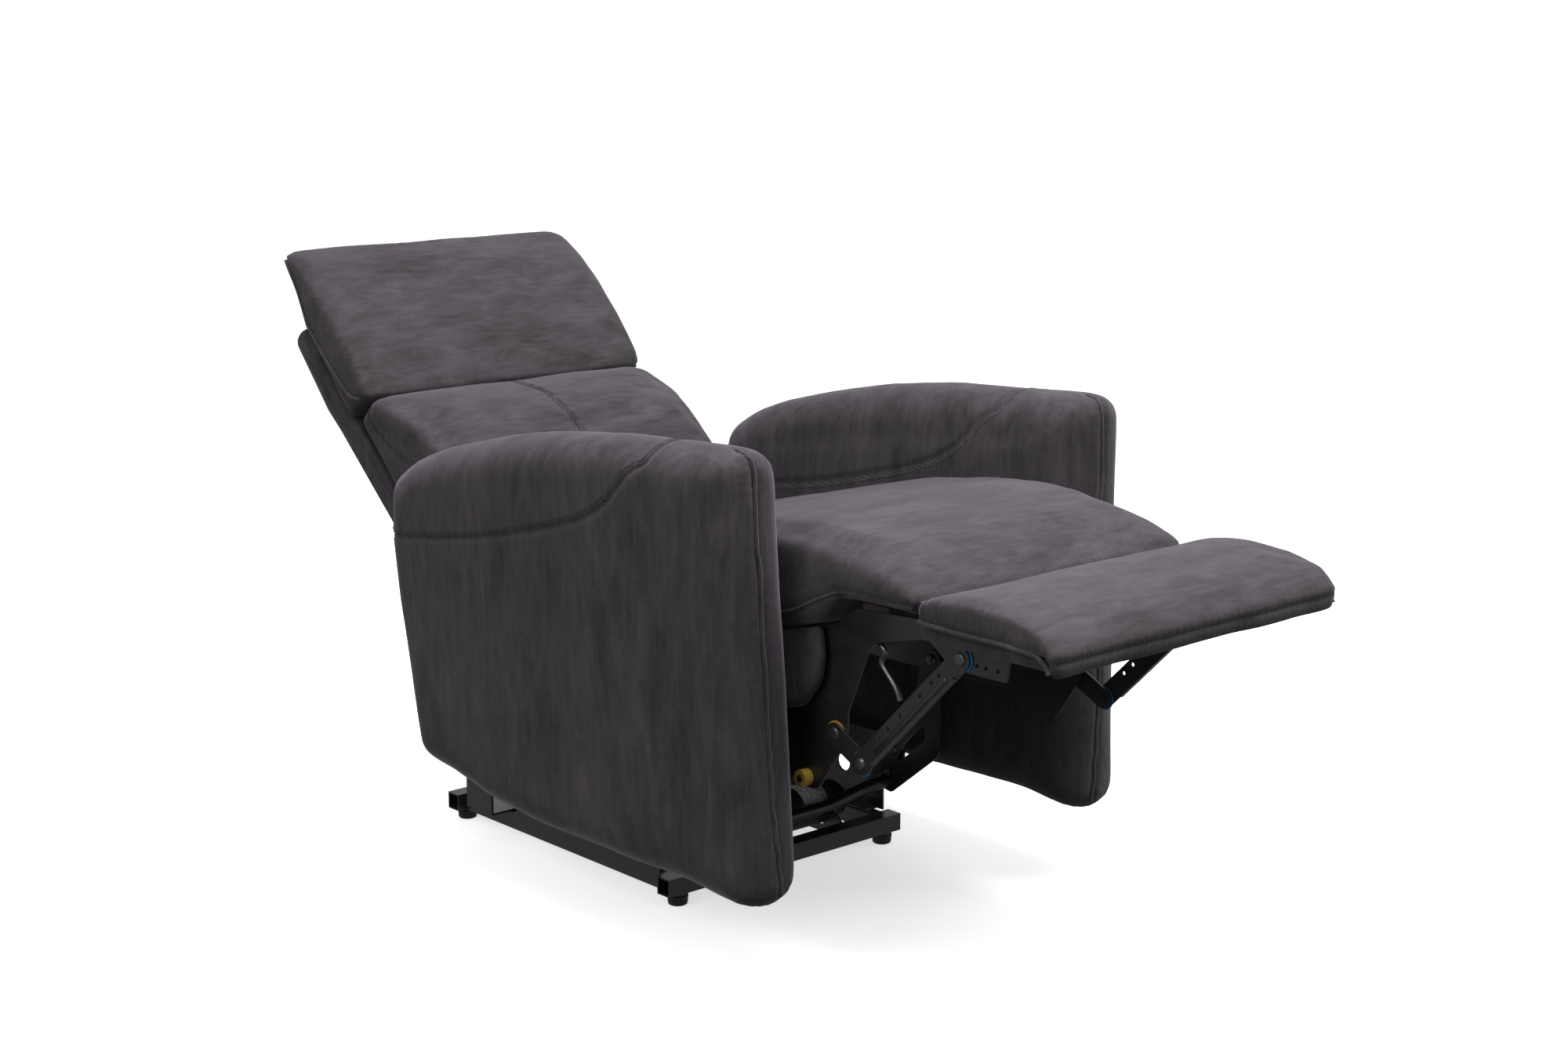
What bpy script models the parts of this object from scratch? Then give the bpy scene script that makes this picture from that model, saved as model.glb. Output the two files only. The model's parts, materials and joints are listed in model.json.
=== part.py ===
"""Powered recliner armchair: steel base, gliding seat, folding legrest and reclining back.

Metres, +Z up. The chair faces -Y and its left-right middle is x = 0. It is built in the
open pose: legrest out and back laid down. Side views are drawn as (y, z) outlines and
swept along X, and the back is drawn in its own (u, v) axes, u up the back and v out of
its front, measured from the back hinge.
"""
import math

import bmesh
import bpy
from mathutils import Matrix, Vector

# ---- overall sizes ---------------------------------------------------------
GAP = 0.0005                # running clearance between separate touching pieces
ARM_MID_X = 0.285           # middle of an arm below the lean
ARM_THICK = 0.115
ARM_LEAN = 0.015            # how far the arms splay outward at the top
LEAN_FROM_Z = 0.20
LEAN_TO_Z = 0.65
ARM_FRONT_Y = -0.404
SEAT_ARM_GAP = 0.003        # seat cushion side to arm
CHEEK_GAP = 0.002           # padded cheek to arm
LEGREST_HALF = 0.246
HEADREST_HALF = 0.250
BACK_ANGLE = 48.0           # lie of the open back, degrees from level
SHEET = 0.003               # steel plate thickness

# ---- side lanes: |x| of the inner face of each layer of the side linkage ------------
SWING_LANE = 0.1945
BASE_LANE = 0.1990
SEAT_LANE = 0.2035
LEG_LANE = 0.2080
LINK_LANE = 0.2125
LANE_GAP = SEAT_LANE - BASE_LANE - SHEET

# ---- floor frame ---------------------------------------------------------------
FOOT_HEIGHT = 0.0155
FOOT_RADIUS = 0.014
TRACK_X = 0.184             # feet and side rails
FRONT_BAR_Y = -0.115
REAR_BAR_Y = 0.362
BAR_WIDTH = 0.025
BAR_HEIGHT = 0.024
BAR_HALF_LENGTH = 0.208
RAIL_WIDTH = 0.020
TUBE_WALL = 0.0018
FRAME_BOTTOM = FOOT_HEIGHT + GAP
FRAME_TOP = FRAME_BOTTOM + BAR_HEIGHT

# ---- linkage -------------------------------------------------------------------
PIN = 0.0040                # pivot pin radius
PIN_PLAY = 0.0004
WASHER_RADIUS = 0.0155
SWING_LENGTH = 0.160
SWING_LEAN = 27.0           # forward lean of the swing links in the open pose, degrees
SWING_BASE_Z = 0.135
FRONT_SWING_Y = -0.125
REAR_SWING_Y = 0.165
DRIVE_LEVER = 0.055         # pivot to cross tube
CROSS_TUBE = 0.0095         # cross tube radius
CREASE_Y = -0.602           # legrest hinge
CREASE_Z = 0.466
HINGE_EDGE = 0.0075         # legrest hinge to the top edge of its plates
LINK_TOP = (-0.652, 0.441)  # ottoman link, upper pivot
KNEE = (-0.492, 0.283)      # ottoman link, lower pivot
BACK_HINGE = (0.270, 0.300)

# ---- drive ---------------------------------------------------------------------
MOTOR_Y = -0.050
MOTOR_Z = 0.0565
MOTOR_RADIUS = 0.030
MOTOR_END_X = 0.157
GEAR_HALF = 0.022
GUIDE_WIDTH = 0.036
GUIDE_HEIGHT = 0.028

# ---- upholstery ----------------------------------------------------------------
CUSHION_ROUND = 0.030
DECK_THICK = 0.005
SEAT_SLOPE = math.atan2(0.1265, 0.600)
SEAT_RAIL_DEPTH = 0.022
BOARD_THICK = 0.0147
SHELL_THICK = 0.038
SHELL_SKIN = 0.020
SHELL_HALF_TOP = 0.250
SHELL_HALF_LOW = 0.228

for old in list(bpy.data.objects):
    bpy.data.objects.remove(old, do_unlink=True)


def material(name, colour, rough, metal=0.0):
    mat = bpy.data.materials.new(name)
    mat.use_nodes = True
    shader = mat.node_tree.nodes["Principled BSDF"]
    shader.inputs["Base Color"].default_value = (*colour, 1.0)
    shader.inputs["Roughness"].default_value = rough
    shader.inputs["Metallic"].default_value = metal
    mat.diffuse_color = (*colour, 1.0)
    return mat


VELVET = material("velvet", (0.075, 0.068, 0.075), 0.85)
STEEL = material("black_steel", (0.018, 0.018, 0.020), 0.38, 0.6)
PLASTIC = material("black_plastic", (0.020, 0.020, 0.022), 0.5)
BLUE = material("blue_nylon", (0.03, 0.22, 0.42), 0.4)
YELLOW = material("yellow_nylon", (0.75, 0.55, 0.06), 0.4)
WOOD = material("wood", (0.22, 0.15, 0.09), 0.7)

root = bpy.data.objects.new("frame", None)
bpy.context.collection.objects.link(root)


def publish(name, bm, mat, smooth=0.0):
    """Turn a bmesh into the named, closed, outward-facing object."""
    bmesh.ops.remove_doubles(bm, verts=bm.verts, dist=1e-6)
    bmesh.ops.recalc_face_normals(bm, faces=bm.faces)
    mesh = bpy.data.meshes.new(name)
    bm.to_mesh(mesh)
    bm.free()
    obj = bpy.data.objects.new(name, mesh)
    bpy.context.collection.objects.link(obj)
    obj.parent = root
    mesh.materials.append(mat)
    if smooth:
        mesh.polygons.foreach_set("use_smooth", [True] * len(mesh.polygons))
        mesh.set_sharp_from_angle(angle=math.radians(smooth))
    return obj


def rounded(corners, inset=0.0, steps=3):
    """Outline points from (y, z, radius) corners, moved inward by inset."""
    pts = [Vector(c[:2]) for c in corners]
    area = sum(a.x * b.y - b.x * a.y for a, b in zip(pts, pts[1:] + pts[:1]))
    side = 1.0 if area > 0 else -1.0
    moved = []
    for i, here in enumerate(pts):
        into = (here - pts[i - 1]).normalized()
        away = (pts[(i + 1) % len(pts)] - here).normalized()
        n_in = Vector((-into.y, into.x)) * side
        n_out = Vector((-away.y, away.x)) * side
        middle = (n_in + n_out).normalized()
        moved.append(here + middle * (inset / max(0.3, middle.dot(n_in))))
    out = []
    for i, here in enumerate(moved):
        radius = corners[i][2] if len(corners[i]) > 2 else 0.0
        if radius <= 0.0:
            out.append(here)
            continue
        convex_cut = max(radius - inset, 0.0015)
        back = moved[i - 1] - here
        ahead = moved[(i + 1) % len(moved)] - here
        half = back.angle(ahead) / 2
        reach = min(convex_cut / math.tan(half), 0.45 * back.length, 0.45 * ahead.length)
        size = reach * math.tan(half)
        start = here + back.normalized() * reach
        end = here + ahead.normalized() * reach
        centre = here + (back.normalized() + ahead.normalized()).normalized() * (size / math.sin(half))
        a0 = math.atan2(start.y - centre.y, start.x - centre.x)
        a1 = math.atan2(end.y - centre.y, end.x - centre.x)
        turn = (a1 - a0 + math.pi) % (2 * math.pi) - math.pi
        for k in range(steps + 1):
            ang = a0 + turn * k / steps
            out.append(centre + Vector((math.cos(ang), math.sin(ang))) * size)
    return out


def circle(centre, radius, count=16, turned=0.0):
    angles = [turned + 2 * math.pi * k / count for k in range(count)]
    return [Vector((centre[0] + radius * math.cos(a), centre[1] + radius * math.sin(a))) for a in angles]


def strap(points, radius, steps=5):
    """Round-ended outline of constant width along a bent line of points."""
    pts = [Vector(p) for p in points]
    out = []
    last = len(pts) - 1
    for order in (range(len(pts)), range(last, -1, -1)):
        order = list(order)
        for j, i in enumerate(order):
            if j == len(order) - 1:
                along = (pts[order[j]] - pts[order[j - 1]]).normalized()
                base = math.atan2(along.y, along.x)
                for k in range(2 * steps + 1):
                    ang = base - math.pi / 2 + math.pi * k / (2 * steps)
                    out.append(pts[i] + Vector((math.cos(ang), math.sin(ang))) * radius)
            elif j > 0:
                a = (pts[i] - pts[order[j - 1]]).normalized()
                b = (pts[order[j + 1]] - pts[i]).normalized()
                n = (Vector((a.y, -a.x)) + Vector((b.y, -b.x))).normalized()
                out.append(pts[i] + n * (radius / n.dot(Vector((a.y, -a.x)))))
    return out


def flat_face(bm, outline, holes, place):
    edges = []
    for loop in [outline] + list(holes):
        verts = [bm.verts.new(place(p)) for p in loop]
        edges += [bm.edges.new((verts[k], verts[(k + 1) % len(verts)])) for k in range(len(verts))]
    made = bmesh.ops.triangle_fill(bm, use_beauty=True, use_dissolve=False, edges=edges)
    return [g for g in made["geom"] if isinstance(g, bmesh.types.BMFace)]


def prism_mesh(outline, x0, x1, holes=()):
    """A plate in the side plane between x0 and x1, with holes left in it."""
    bm = bmesh.new()
    faces = flat_face(bm, outline, holes, lambda p: Vector((x0, p[0], p[1])))
    made = bmesh.ops.extrude_face_region(bm, geom=faces, use_keep_orig=True)
    moved = [g for g in made["geom"] if isinstance(g, bmesh.types.BMVert)]
    bmesh.ops.translate(bm, verts=moved, vec=(x1 - x0, 0, 0))
    bmesh.ops.recalc_face_normals(bm, faces=bm.faces)
    return bm


def box_mesh(lo, hi):
    bm = bmesh.new()
    size = [b - a for a, b in zip(lo, hi)]
    mid = [(a + b) / 2 for a, b in zip(lo, hi)]
    bmesh.ops.create_cube(bm, size=1.0, matrix=Matrix.Translation(mid) @ Matrix.Diagonal((*size, 1)))
    return bm


def combine(name, first, others, mat, operation="UNION", smooth=0.0):
    """One solid from a first mesh joined with, or cut by, the others."""
    body = publish(name, first, mat)
    tools = []
    for k, bm in enumerate(others):
        tool = publish(f"{name}_tool{k}", bm, mat)
        tools.append(tool)
        step = body.modifiers.new(f"step{k}", "BOOLEAN")
        step.operation = operation
        step.solver = "EXACT"
        step.object = tool
    bpy.context.view_layer.update()
    graph = bpy.context.evaluated_depsgraph_get()
    solid = bmesh.new()
    solid.from_mesh(body.evaluated_get(graph).to_mesh())
    body.modifiers.clear()
    for tool in tools:
        bpy.data.objects.remove(tool, do_unlink=True)
    bmesh.ops.remove_doubles(solid, verts=solid.verts, dist=1e-6)
    bmesh.ops.recalc_face_normals(solid, faces=solid.faces)
    solid.to_mesh(body.data)
    solid.free()
    if smooth:
        body.data.polygons.foreach_set("use_smooth", [True] * len(body.data.polygons))
        body.data.set_sharp_from_angle(angle=math.radians(smooth))
    return body


def pin_mesh(centre, radius, x0, x1):
    return prism_mesh(circle(centre, radius, 12, 0.11), x0, x1)


def lean(z):
    """Outward splay of the arms at height z."""
    return ARM_LEAN * min(1.0, max(0.0, (z - LEAN_FROM_Z) / (LEAN_TO_Z - LEAN_FROM_Z)))


def pad(name, corners, half, edge, depth, place, mat=VELVET, steps=3, rows=4, spread=None):
    """A padded block: outline swept along X, its side edges rounded over."""
    stations = [(-half + edge * (1 - math.cos(math.pi / 2 * k / rows)),
                 depth * (1 - math.sin(math.pi / 2 * k / rows))) for k in range(rows + 1)]
    stations = stations + [(-x, d) for x, d in reversed(stations)]
    bm = bmesh.new()
    rings = []
    for x, inset in stations:
        ring = []
        for p in rounded(corners, inset, steps):
            spot = place(x, p)
            if spread:
                spot.x += spread(spot, x / half)
            ring.append(bm.verts.new(spot))
        rings.append(ring)
    count = len(rings[0])
    for a, b in zip(rings, rings[1:]):
        for k in range(count):
            bm.faces.new((a[k], a[(k + 1) % count], b[(k + 1) % count], b[k]))
    caps = [bm.faces.new(rings[0]), bm.faces.new(rings[-1])]
    bmesh.ops.recalc_face_normals(bm, faces=bm.faces)
    bmesh.ops.triangulate(bm, faces=caps, ngon_method="EAR_CLIP")
    return publish(name, bm, mat, smooth=40)


def side(name, sign):
    return f"{name}_{'near' if sign < 0 else 'far'}"


def lane(sign, inner, thick=SHEET):
    """x0, x1 of a layer on the side given by sign."""
    return sorted((sign * inner, sign * (inner + thick)))


def in_side(x, p):
    return Vector((x, p[0], p[1]))


TILT = math.radians(BACK_ANGLE)


def back_point(u, v):
    """World (y, z) of a point drawn in the back's own axes."""
    return (BACK_HINGE[0] + u * math.cos(TILT) - v * math.sin(TILT),
            BACK_HINGE[1] + u * math.sin(TILT) + v * math.cos(TILT))


def in_back(x, p):
    return Vector((x, *back_point(p[0], p[1])))


def back_outline(points):
    return [Vector(back_point(*p)) for p in points]


def swing_end(base_y, length, degrees):
    ang = math.radians(degrees)
    return (base_y - length * math.sin(ang), SWING_BASE_Z + length * math.cos(ang))


FRONT_BASE = (FRONT_SWING_Y, SWING_BASE_Z)
REAR_BASE = (REAR_SWING_Y, SWING_BASE_Z)
FRONT_SEAT = swing_end(FRONT_SWING_Y, SWING_LENGTH, SWING_LEAN)
REAR_SEAT = swing_end(REAR_SWING_Y, SWING_LENGTH, SWING_LEAN)
FRONT_TUBE = (FRONT_SWING_Y + 0.013, SWING_BASE_Z - 0.049)
REAR_TUBE = swing_end(REAR_SWING_Y, -DRIVE_LEVER, SWING_LEAN)
CREASE = (CREASE_Y, CREASE_Z)
KNEE_REAR = (CREASE_Y + KNEE[0] - LINK_TOP[0], CREASE_Z + KNEE[1] - LINK_TOP[1])
ROLLER = (-0.392, 0.243)

# ---- floor frame ---------------------------------------------------------------
for label, y in (("front_bar", FRONT_BAR_Y), ("rear_bar", REAR_BAR_Y)):
    half = BAR_WIDTH / 2
    outer = box_mesh((-BAR_HALF_LENGTH, y - half, FRAME_BOTTOM), (BAR_HALF_LENGTH, y + half, FRAME_TOP))
    inner = box_mesh((-BAR_HALF_LENGTH - 0.01, y - half + TUBE_WALL, FRAME_BOTTOM + TUBE_WALL),
                     (BAR_HALF_LENGTH + 0.01, y + half - TUBE_WALL, FRAME_TOP - TUBE_WALL))
    combine(label, outer, [inner], STEEL, "DIFFERENCE")
    for sign in (-1, 1):
        foot = bmesh.new()
        bmesh.ops.create_cone(foot, cap_ends=True, segments=20, radius1=FOOT_RADIUS - 0.001,
                              radius2=FOOT_RADIUS, depth=FOOT_HEIGHT,
                              matrix=Matrix.Translation((sign * TRACK_X, y, FOOT_HEIGHT / 2)))
        end = "front" if y < 0 else "rear"
        publish(side(f"foot_{end}", sign), foot, PLASTIC, smooth=40)

RAIL_FRONT = FRONT_BAR_Y + BAR_WIDTH / 2 + GAP
RAIL_REAR = REAR_BAR_Y - BAR_WIDTH / 2 - GAP
for sign in (-1, 1):
    rail = box_mesh((sign * TRACK_X - RAIL_WIDTH / 2, RAIL_FRONT, FRAME_BOTTOM),
                    (sign * TRACK_X + RAIL_WIDTH / 2, RAIL_REAR, FRAME_TOP))
    publish(side("side_rail", sign), rail, STEEL)

    # upright plate that carries both swing pivots, with a foot flange on the rail
    top = SWING_BASE_Z + 0.017
    low = FRAME_TOP + GAP
    outline = rounded([(RAIL_FRONT + 0.002, low), (RAIL_FRONT + 0.002, 0.085, 0.01),
                       (FRONT_BASE[0] - 0.016, 0.112, 0.014), (FRONT_BASE[0] - 0.018, top, 0.017),
                       (REAR_BASE[0] + 0.020, top, 0.017), (REAR_BASE[0] + 0.052, 0.080, 0.012),
                       (REAR_BASE[0] + 0.052, low)])
    holes = [circle(FRONT_BASE, PIN + PIN_PLAY), circle(REAR_BASE, PIN + PIN_PLAY)]
    holes += [circle((y, 0.092), 0.013, 12) for y in (-0.02, 0.035, 0.09)]
    x0, x1 = lane(sign, BASE_LANE)
    plate = prism_mesh(outline, x0, x1, holes)
    f0, f1 = sorted((sign * (TRACK_X - 0.008), sign * (BASE_LANE + SHEET)))
    flange = box_mesh((f0, RAIL_FRONT + 0.012, low), (f1, REAR_BASE[0] + 0.052, low + SHEET))
    combine(side("base_plate", sign), plate, [flange], STEEL)

    # bracket that carries the arm: a leg on the rail and a plate against the arm's inner face
    outer_x = ARM_MID_X - ARM_THICK / 2 - GAP
    leg_y = (REAR_BASE[0] + 0.075, REAR_BASE[0] + 0.135)
    outline = rounded([(leg_y[0], low), (leg_y[0], 0.150, 0.010), (0.0, 0.150, 0.008), (0.0, 0.205, 0.008),
                       (0.262, 0.205, 0.010), (leg_y[1], 0.110, 0.010), (leg_y[1], low)])
    x0, x1 = sorted((sign * outer_x, sign * (outer_x - SHEET)))
    holes = [circle((y, 0.178), 0.0035, 10) for y in (0.03, 0.13, 0.23)]
    plate = prism_mesh(outline, x0, x1, holes)
    f0, f1 = sorted((sign * (TRACK_X - 0.008), sign * outer_x))
    leg = box_mesh((f0, leg_y[0], low), (f1, leg_y[1], low + SHEET))
    combine(side("arm_bracket", sign), plate, [leg], STEEL)

    # upholstered arm
    corners = [(ARM_FRONT_Y, 0.654, 0.030), (-0.345, 0.6525), (-0.288, 0.649), (-0.226, 0.646), (-0.165, 0.6425),
               (-0.107, 0.637), (-0.050, 0.630), (0.007, 0.622), (0.055, 0.613), (0.100, 0.603), (0.145, 0.592),
               (0.209, 0.575), (0.260, 0.556), (0.306, 0.528, 0.030), (0.316, 0.450), (0.306, 0.350),
               (0.287, 0.240), (0.266, 0.138, 0.030), (0.190, 0.1280), (0.110, 0.1110), (0.010, 0.1030),
               (-0.110, 0.1010), (-0.220, 0.1030), (-0.310, 0.1050), (-0.426, 0.0960, 0.028), (-0.4200, 0.250),
               (-0.4125, 0.420), (-0.407, 0.550)]
    mid = sign * ARM_MID_X
    pad(side("arm", sign), corners, ARM_THICK / 2, 0.052, 0.045,
        lambda x, p, m=mid: Vector((m + x, p[0], p[1])), steps=4, rows=4,
        spread=lambda s, t, g=sign: g * lean(s.z))

# ---- drive: motor across the chair, gear case, guide and slider -----------------------
motor = bmesh.new()
gear_x = GEAR_HALF + GAP
bmesh.ops.create_cone(motor, cap_ends=True, segments=28, radius1=MOTOR_RADIUS, radius2=MOTOR_RADIUS,
                      depth=MOTOR_END_X - gear_x,
                      matrix=Matrix.Translation(((MOTOR_END_X + gear_x) / 2, MOTOR_Y, MOTOR_Z))
                      @ Matrix.Rotation(math.pi / 2, 4, "Y"))
rim = [e for e in motor.edges if all(v.co.x > MOTOR_END_X - 1e-4 for v in e.verts)]
bmesh.ops.bevel(motor, geom=rim, offset=0.010, segments=3, profile=0.5, affect="EDGES", material=-1)
publish("motor", motor, PLASTIC, smooth=50)

gear_back = MOTOR_Y + 0.038
gear = prism_mesh(rounded([(-0.086, 0.020, 0.006), (-0.086, 0.088, 0.012), (gear_back, 0.092, 0.012),
                           (gear_back, 0.020, 0.006)]), -GEAR_HALF, GEAR_HALF)
publish("gear_case", gear, PLASTIC, smooth=30)

guide = box_mesh((-GUIDE_WIDTH / 2, gear_back + GAP, 0.018), (GUIDE_WIDTH / 2, RAIL_REAR, 0.018 + GUIDE_HEIGHT))
publish("guide_rail", guide, STEEL)

saddle_x = 0.118
clip = [(FRONT_BAR_Y + BAR_WIDTH / 2 + GAP, 0.018, 0.003), (FRONT_BAR_Y + BAR_WIDTH / 2 + GAP, 0.038, 0.006),
        (-0.0885, 0.052, 0.006), (-0.0855, 0.080, 0.010), (-0.060, 0.0925, 0.010), (-0.030, 0.0915, 0.010),
        (-0.013, 0.070, 0.010), (-0.013, 0.035, 0.010), (-0.035, 0.018, 0.008)]
saddle = prism_mesh(rounded(clip), saddle_x, saddle_x + 0.004, [circle((MOTOR_Y, MOTOR_Z), MOTOR_RADIUS + 0.0006, 28)])
publish("motor_saddle", saddle, STEEL)

# slider with a fork around the rear cross tube
fork = 0.0015
fy = REAR_TUBE[0]
slot = CROSS_TUBE + fork
body = prism_mesh(rounded([(fy - 0.024, 0.0165), (fy - 0.024, 0.104, 0.004), (fy - slot, 0.104, 0.002),
                           (fy - slot, 0.0690, 0.004), (fy + slot, 0.0690, 0.004), (fy + slot, 0.104, 0.002),
                           (fy + 0.024, 0.104, 0.004), (fy + 0.024, 0.0165)]), -0.026, 0.026)
bore = box_mesh((-GUIDE_WIDTH / 2 - GAP, fy - 0.05, 0.018 - GAP),
                (GUIDE_WIDTH / 2 + GAP, fy + 0.05, 0.018 + GUIDE_HEIGHT + GAP))
combine("slider", body, [bore], STEEL, "DIFFERENCE")

# ---- swing links and their cross tubes -------------------------------------------------
for sign in (-1, 1):
    x0, x1 = lane(sign, SWING_LANE)
    into_base = sorted((sign * (SWING_LANE + 0.001), sign * (BASE_LANE + SHEET - GAP)))
    into_seat = sorted((sign * (SWING_LANE + 0.001), sign * (SEAT_LANE + SHEET + 0.002)))

    outline = rounded([(FRONT_TUBE[0] - 0.010, FRONT_TUBE[1] - 0.014, 0.008), (-0.214, 0.145, 0.014),
                       (-0.2175, 0.200), (FRONT_SEAT[0] - 0.016, FRONT_SEAT[1] + 0.016, 0.015),
                       (FRONT_SEAT[0] + 0.016, FRONT_SEAT[1] + 0.013, 0.015), (-0.163, 0.200),
                       (FRONT_BASE[0] + 0.016, FRONT_BASE[1] + 0.012, 0.014),
                       (FRONT_TUBE[0] + 0.014, FRONT_TUBE[1] - 0.010, 0.010)])
    window = rounded([(-0.128, 0.113, 0.003), (-0.187, 0.160, 0.006), (-0.187, 0.185, 0.006),
                      (-0.148, 0.150, 0.005)])
    link = prism_mesh(outline, x0, x1, [window])
    combine(side("front_swing", sign), link,
            [pin_mesh(FRONT_BASE, PIN, *into_base), pin_mesh(FRONT_SEAT, PIN, *into_seat)], STEEL)

    link = prism_mesh(strap([REAR_TUBE, REAR_SEAT], 0.014), x0, x1)
    combine(side("rear_swing", sign), link,
            [pin_mesh(REAR_BASE, PIN, *into_base), pin_mesh(REAR_SEAT, PIN, *into_seat)], STEEL)


def tube(name, path, radius, segments=14):
    """Round bar along a path that keeps roughly to X."""
    bm = bmesh.new()
    rings = []
    pts = [Vector(p) for p in path]
    for i, here in enumerate(pts):
        along = (pts[min(i + 1, len(pts) - 1)] - pts[max(i - 1, 0)]).normalized()
        if i in (0, len(pts) - 1):
            along = Vector((1, 0, 0))
        up = (Vector((0, 0, 1)) - along * along.z).normalized()
        across = along.cross(up)
        rings.append([bm.verts.new(here + (across * math.cos(a) + up * math.sin(a)) * radius)
                      for a in (2 * math.pi * k / segments for k in range(segments))])
    for a, b in zip(rings, rings[1:]):
        for k in range(segments):
            bm.faces.new((a[k], a[(k + 1) % segments], b[(k + 1) % segments], b[k]))
    bm.faces.new(rings[0])
    bm.faces.new(rings[-1])
    return publish(name, bm, STEEL, smooth=50)


tube_half = SWING_LANE - GAP
sag = 0.018
bow = []
for k in range(-8, 9):
    t = k / 8
    rise = min(1.0, max(0.0, (abs(t) - 0.45) / 0.45))
    rise = rise * rise * (3 - 2 * rise)
    bow.append((tube_half * t, FRONT_TUBE[0] + 0.012 * (1 - rise), FRONT_TUBE[1] - sag * (1 - rise)))
tube("drive_tube", bow, CROSS_TUBE)
tube("rear_tube", [(-tube_half, *REAR_TUBE), (tube_half, *REAR_TUBE)], CROSS_TUBE)

# ---- seat --------------------------------------------------------------------------------
DECK_FRONT = (-0.435, 0.4400)
DECK_REAR_Y = 0.160


def deck_z(y, below=0.0):
    """Height of the sloping seat deck's top at y, or a layer below it."""
    return DECK_FRONT[1] - (y - DECK_FRONT[0]) * math.tan(SEAT_SLOPE) - below / math.cos(SEAT_SLOPE)


seat_half = ARM_MID_X - ARM_THICK / 2 - SEAT_ARM_GAP
corners = [(0.166, 0.427, 0.022), (0.085, 0.4500), (0.021, 0.4655), (-0.040, 0.4810), (-0.100, 0.4955),
           (-0.215, 0.5190), (-0.297, 0.5320), (-0.350, 0.5375), (-0.403, 0.5400), (-0.450, 0.5375),
           (-0.496, 0.5320), (-0.547, 0.5235), (-0.586, 0.5125), (-0.6035, 0.5030, 0.008),
           (-0.6035, 0.4780, 0.005), (-0.530, 0.4780), (-0.470, 0.4790, 0.010),
           (DECK_FRONT[0] - 0.003, deck_z(DECK_FRONT[0] - 0.003) + GAP, 0.008), (0.166, deck_z(0.166) + GAP, 0.022)]
pad("seat_cushion", corners, seat_half, CUSHION_ROUND, 0.009, in_side, rows=3,
    spread=lambda s, t: lean(s.z) * t)

deck = prism_mesh([(DECK_FRONT[0], deck_z(DECK_FRONT[0])), (DECK_REAR_Y, deck_z(DECK_REAR_Y)),
                   (DECK_REAR_Y, deck_z(DECK_REAR_Y, DECK_THICK)),
                   (DECK_FRONT[0], deck_z(DECK_FRONT[0], DECK_THICK))], -0.203, 0.203)
publish("seat_deck", deck, WOOD)

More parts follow.
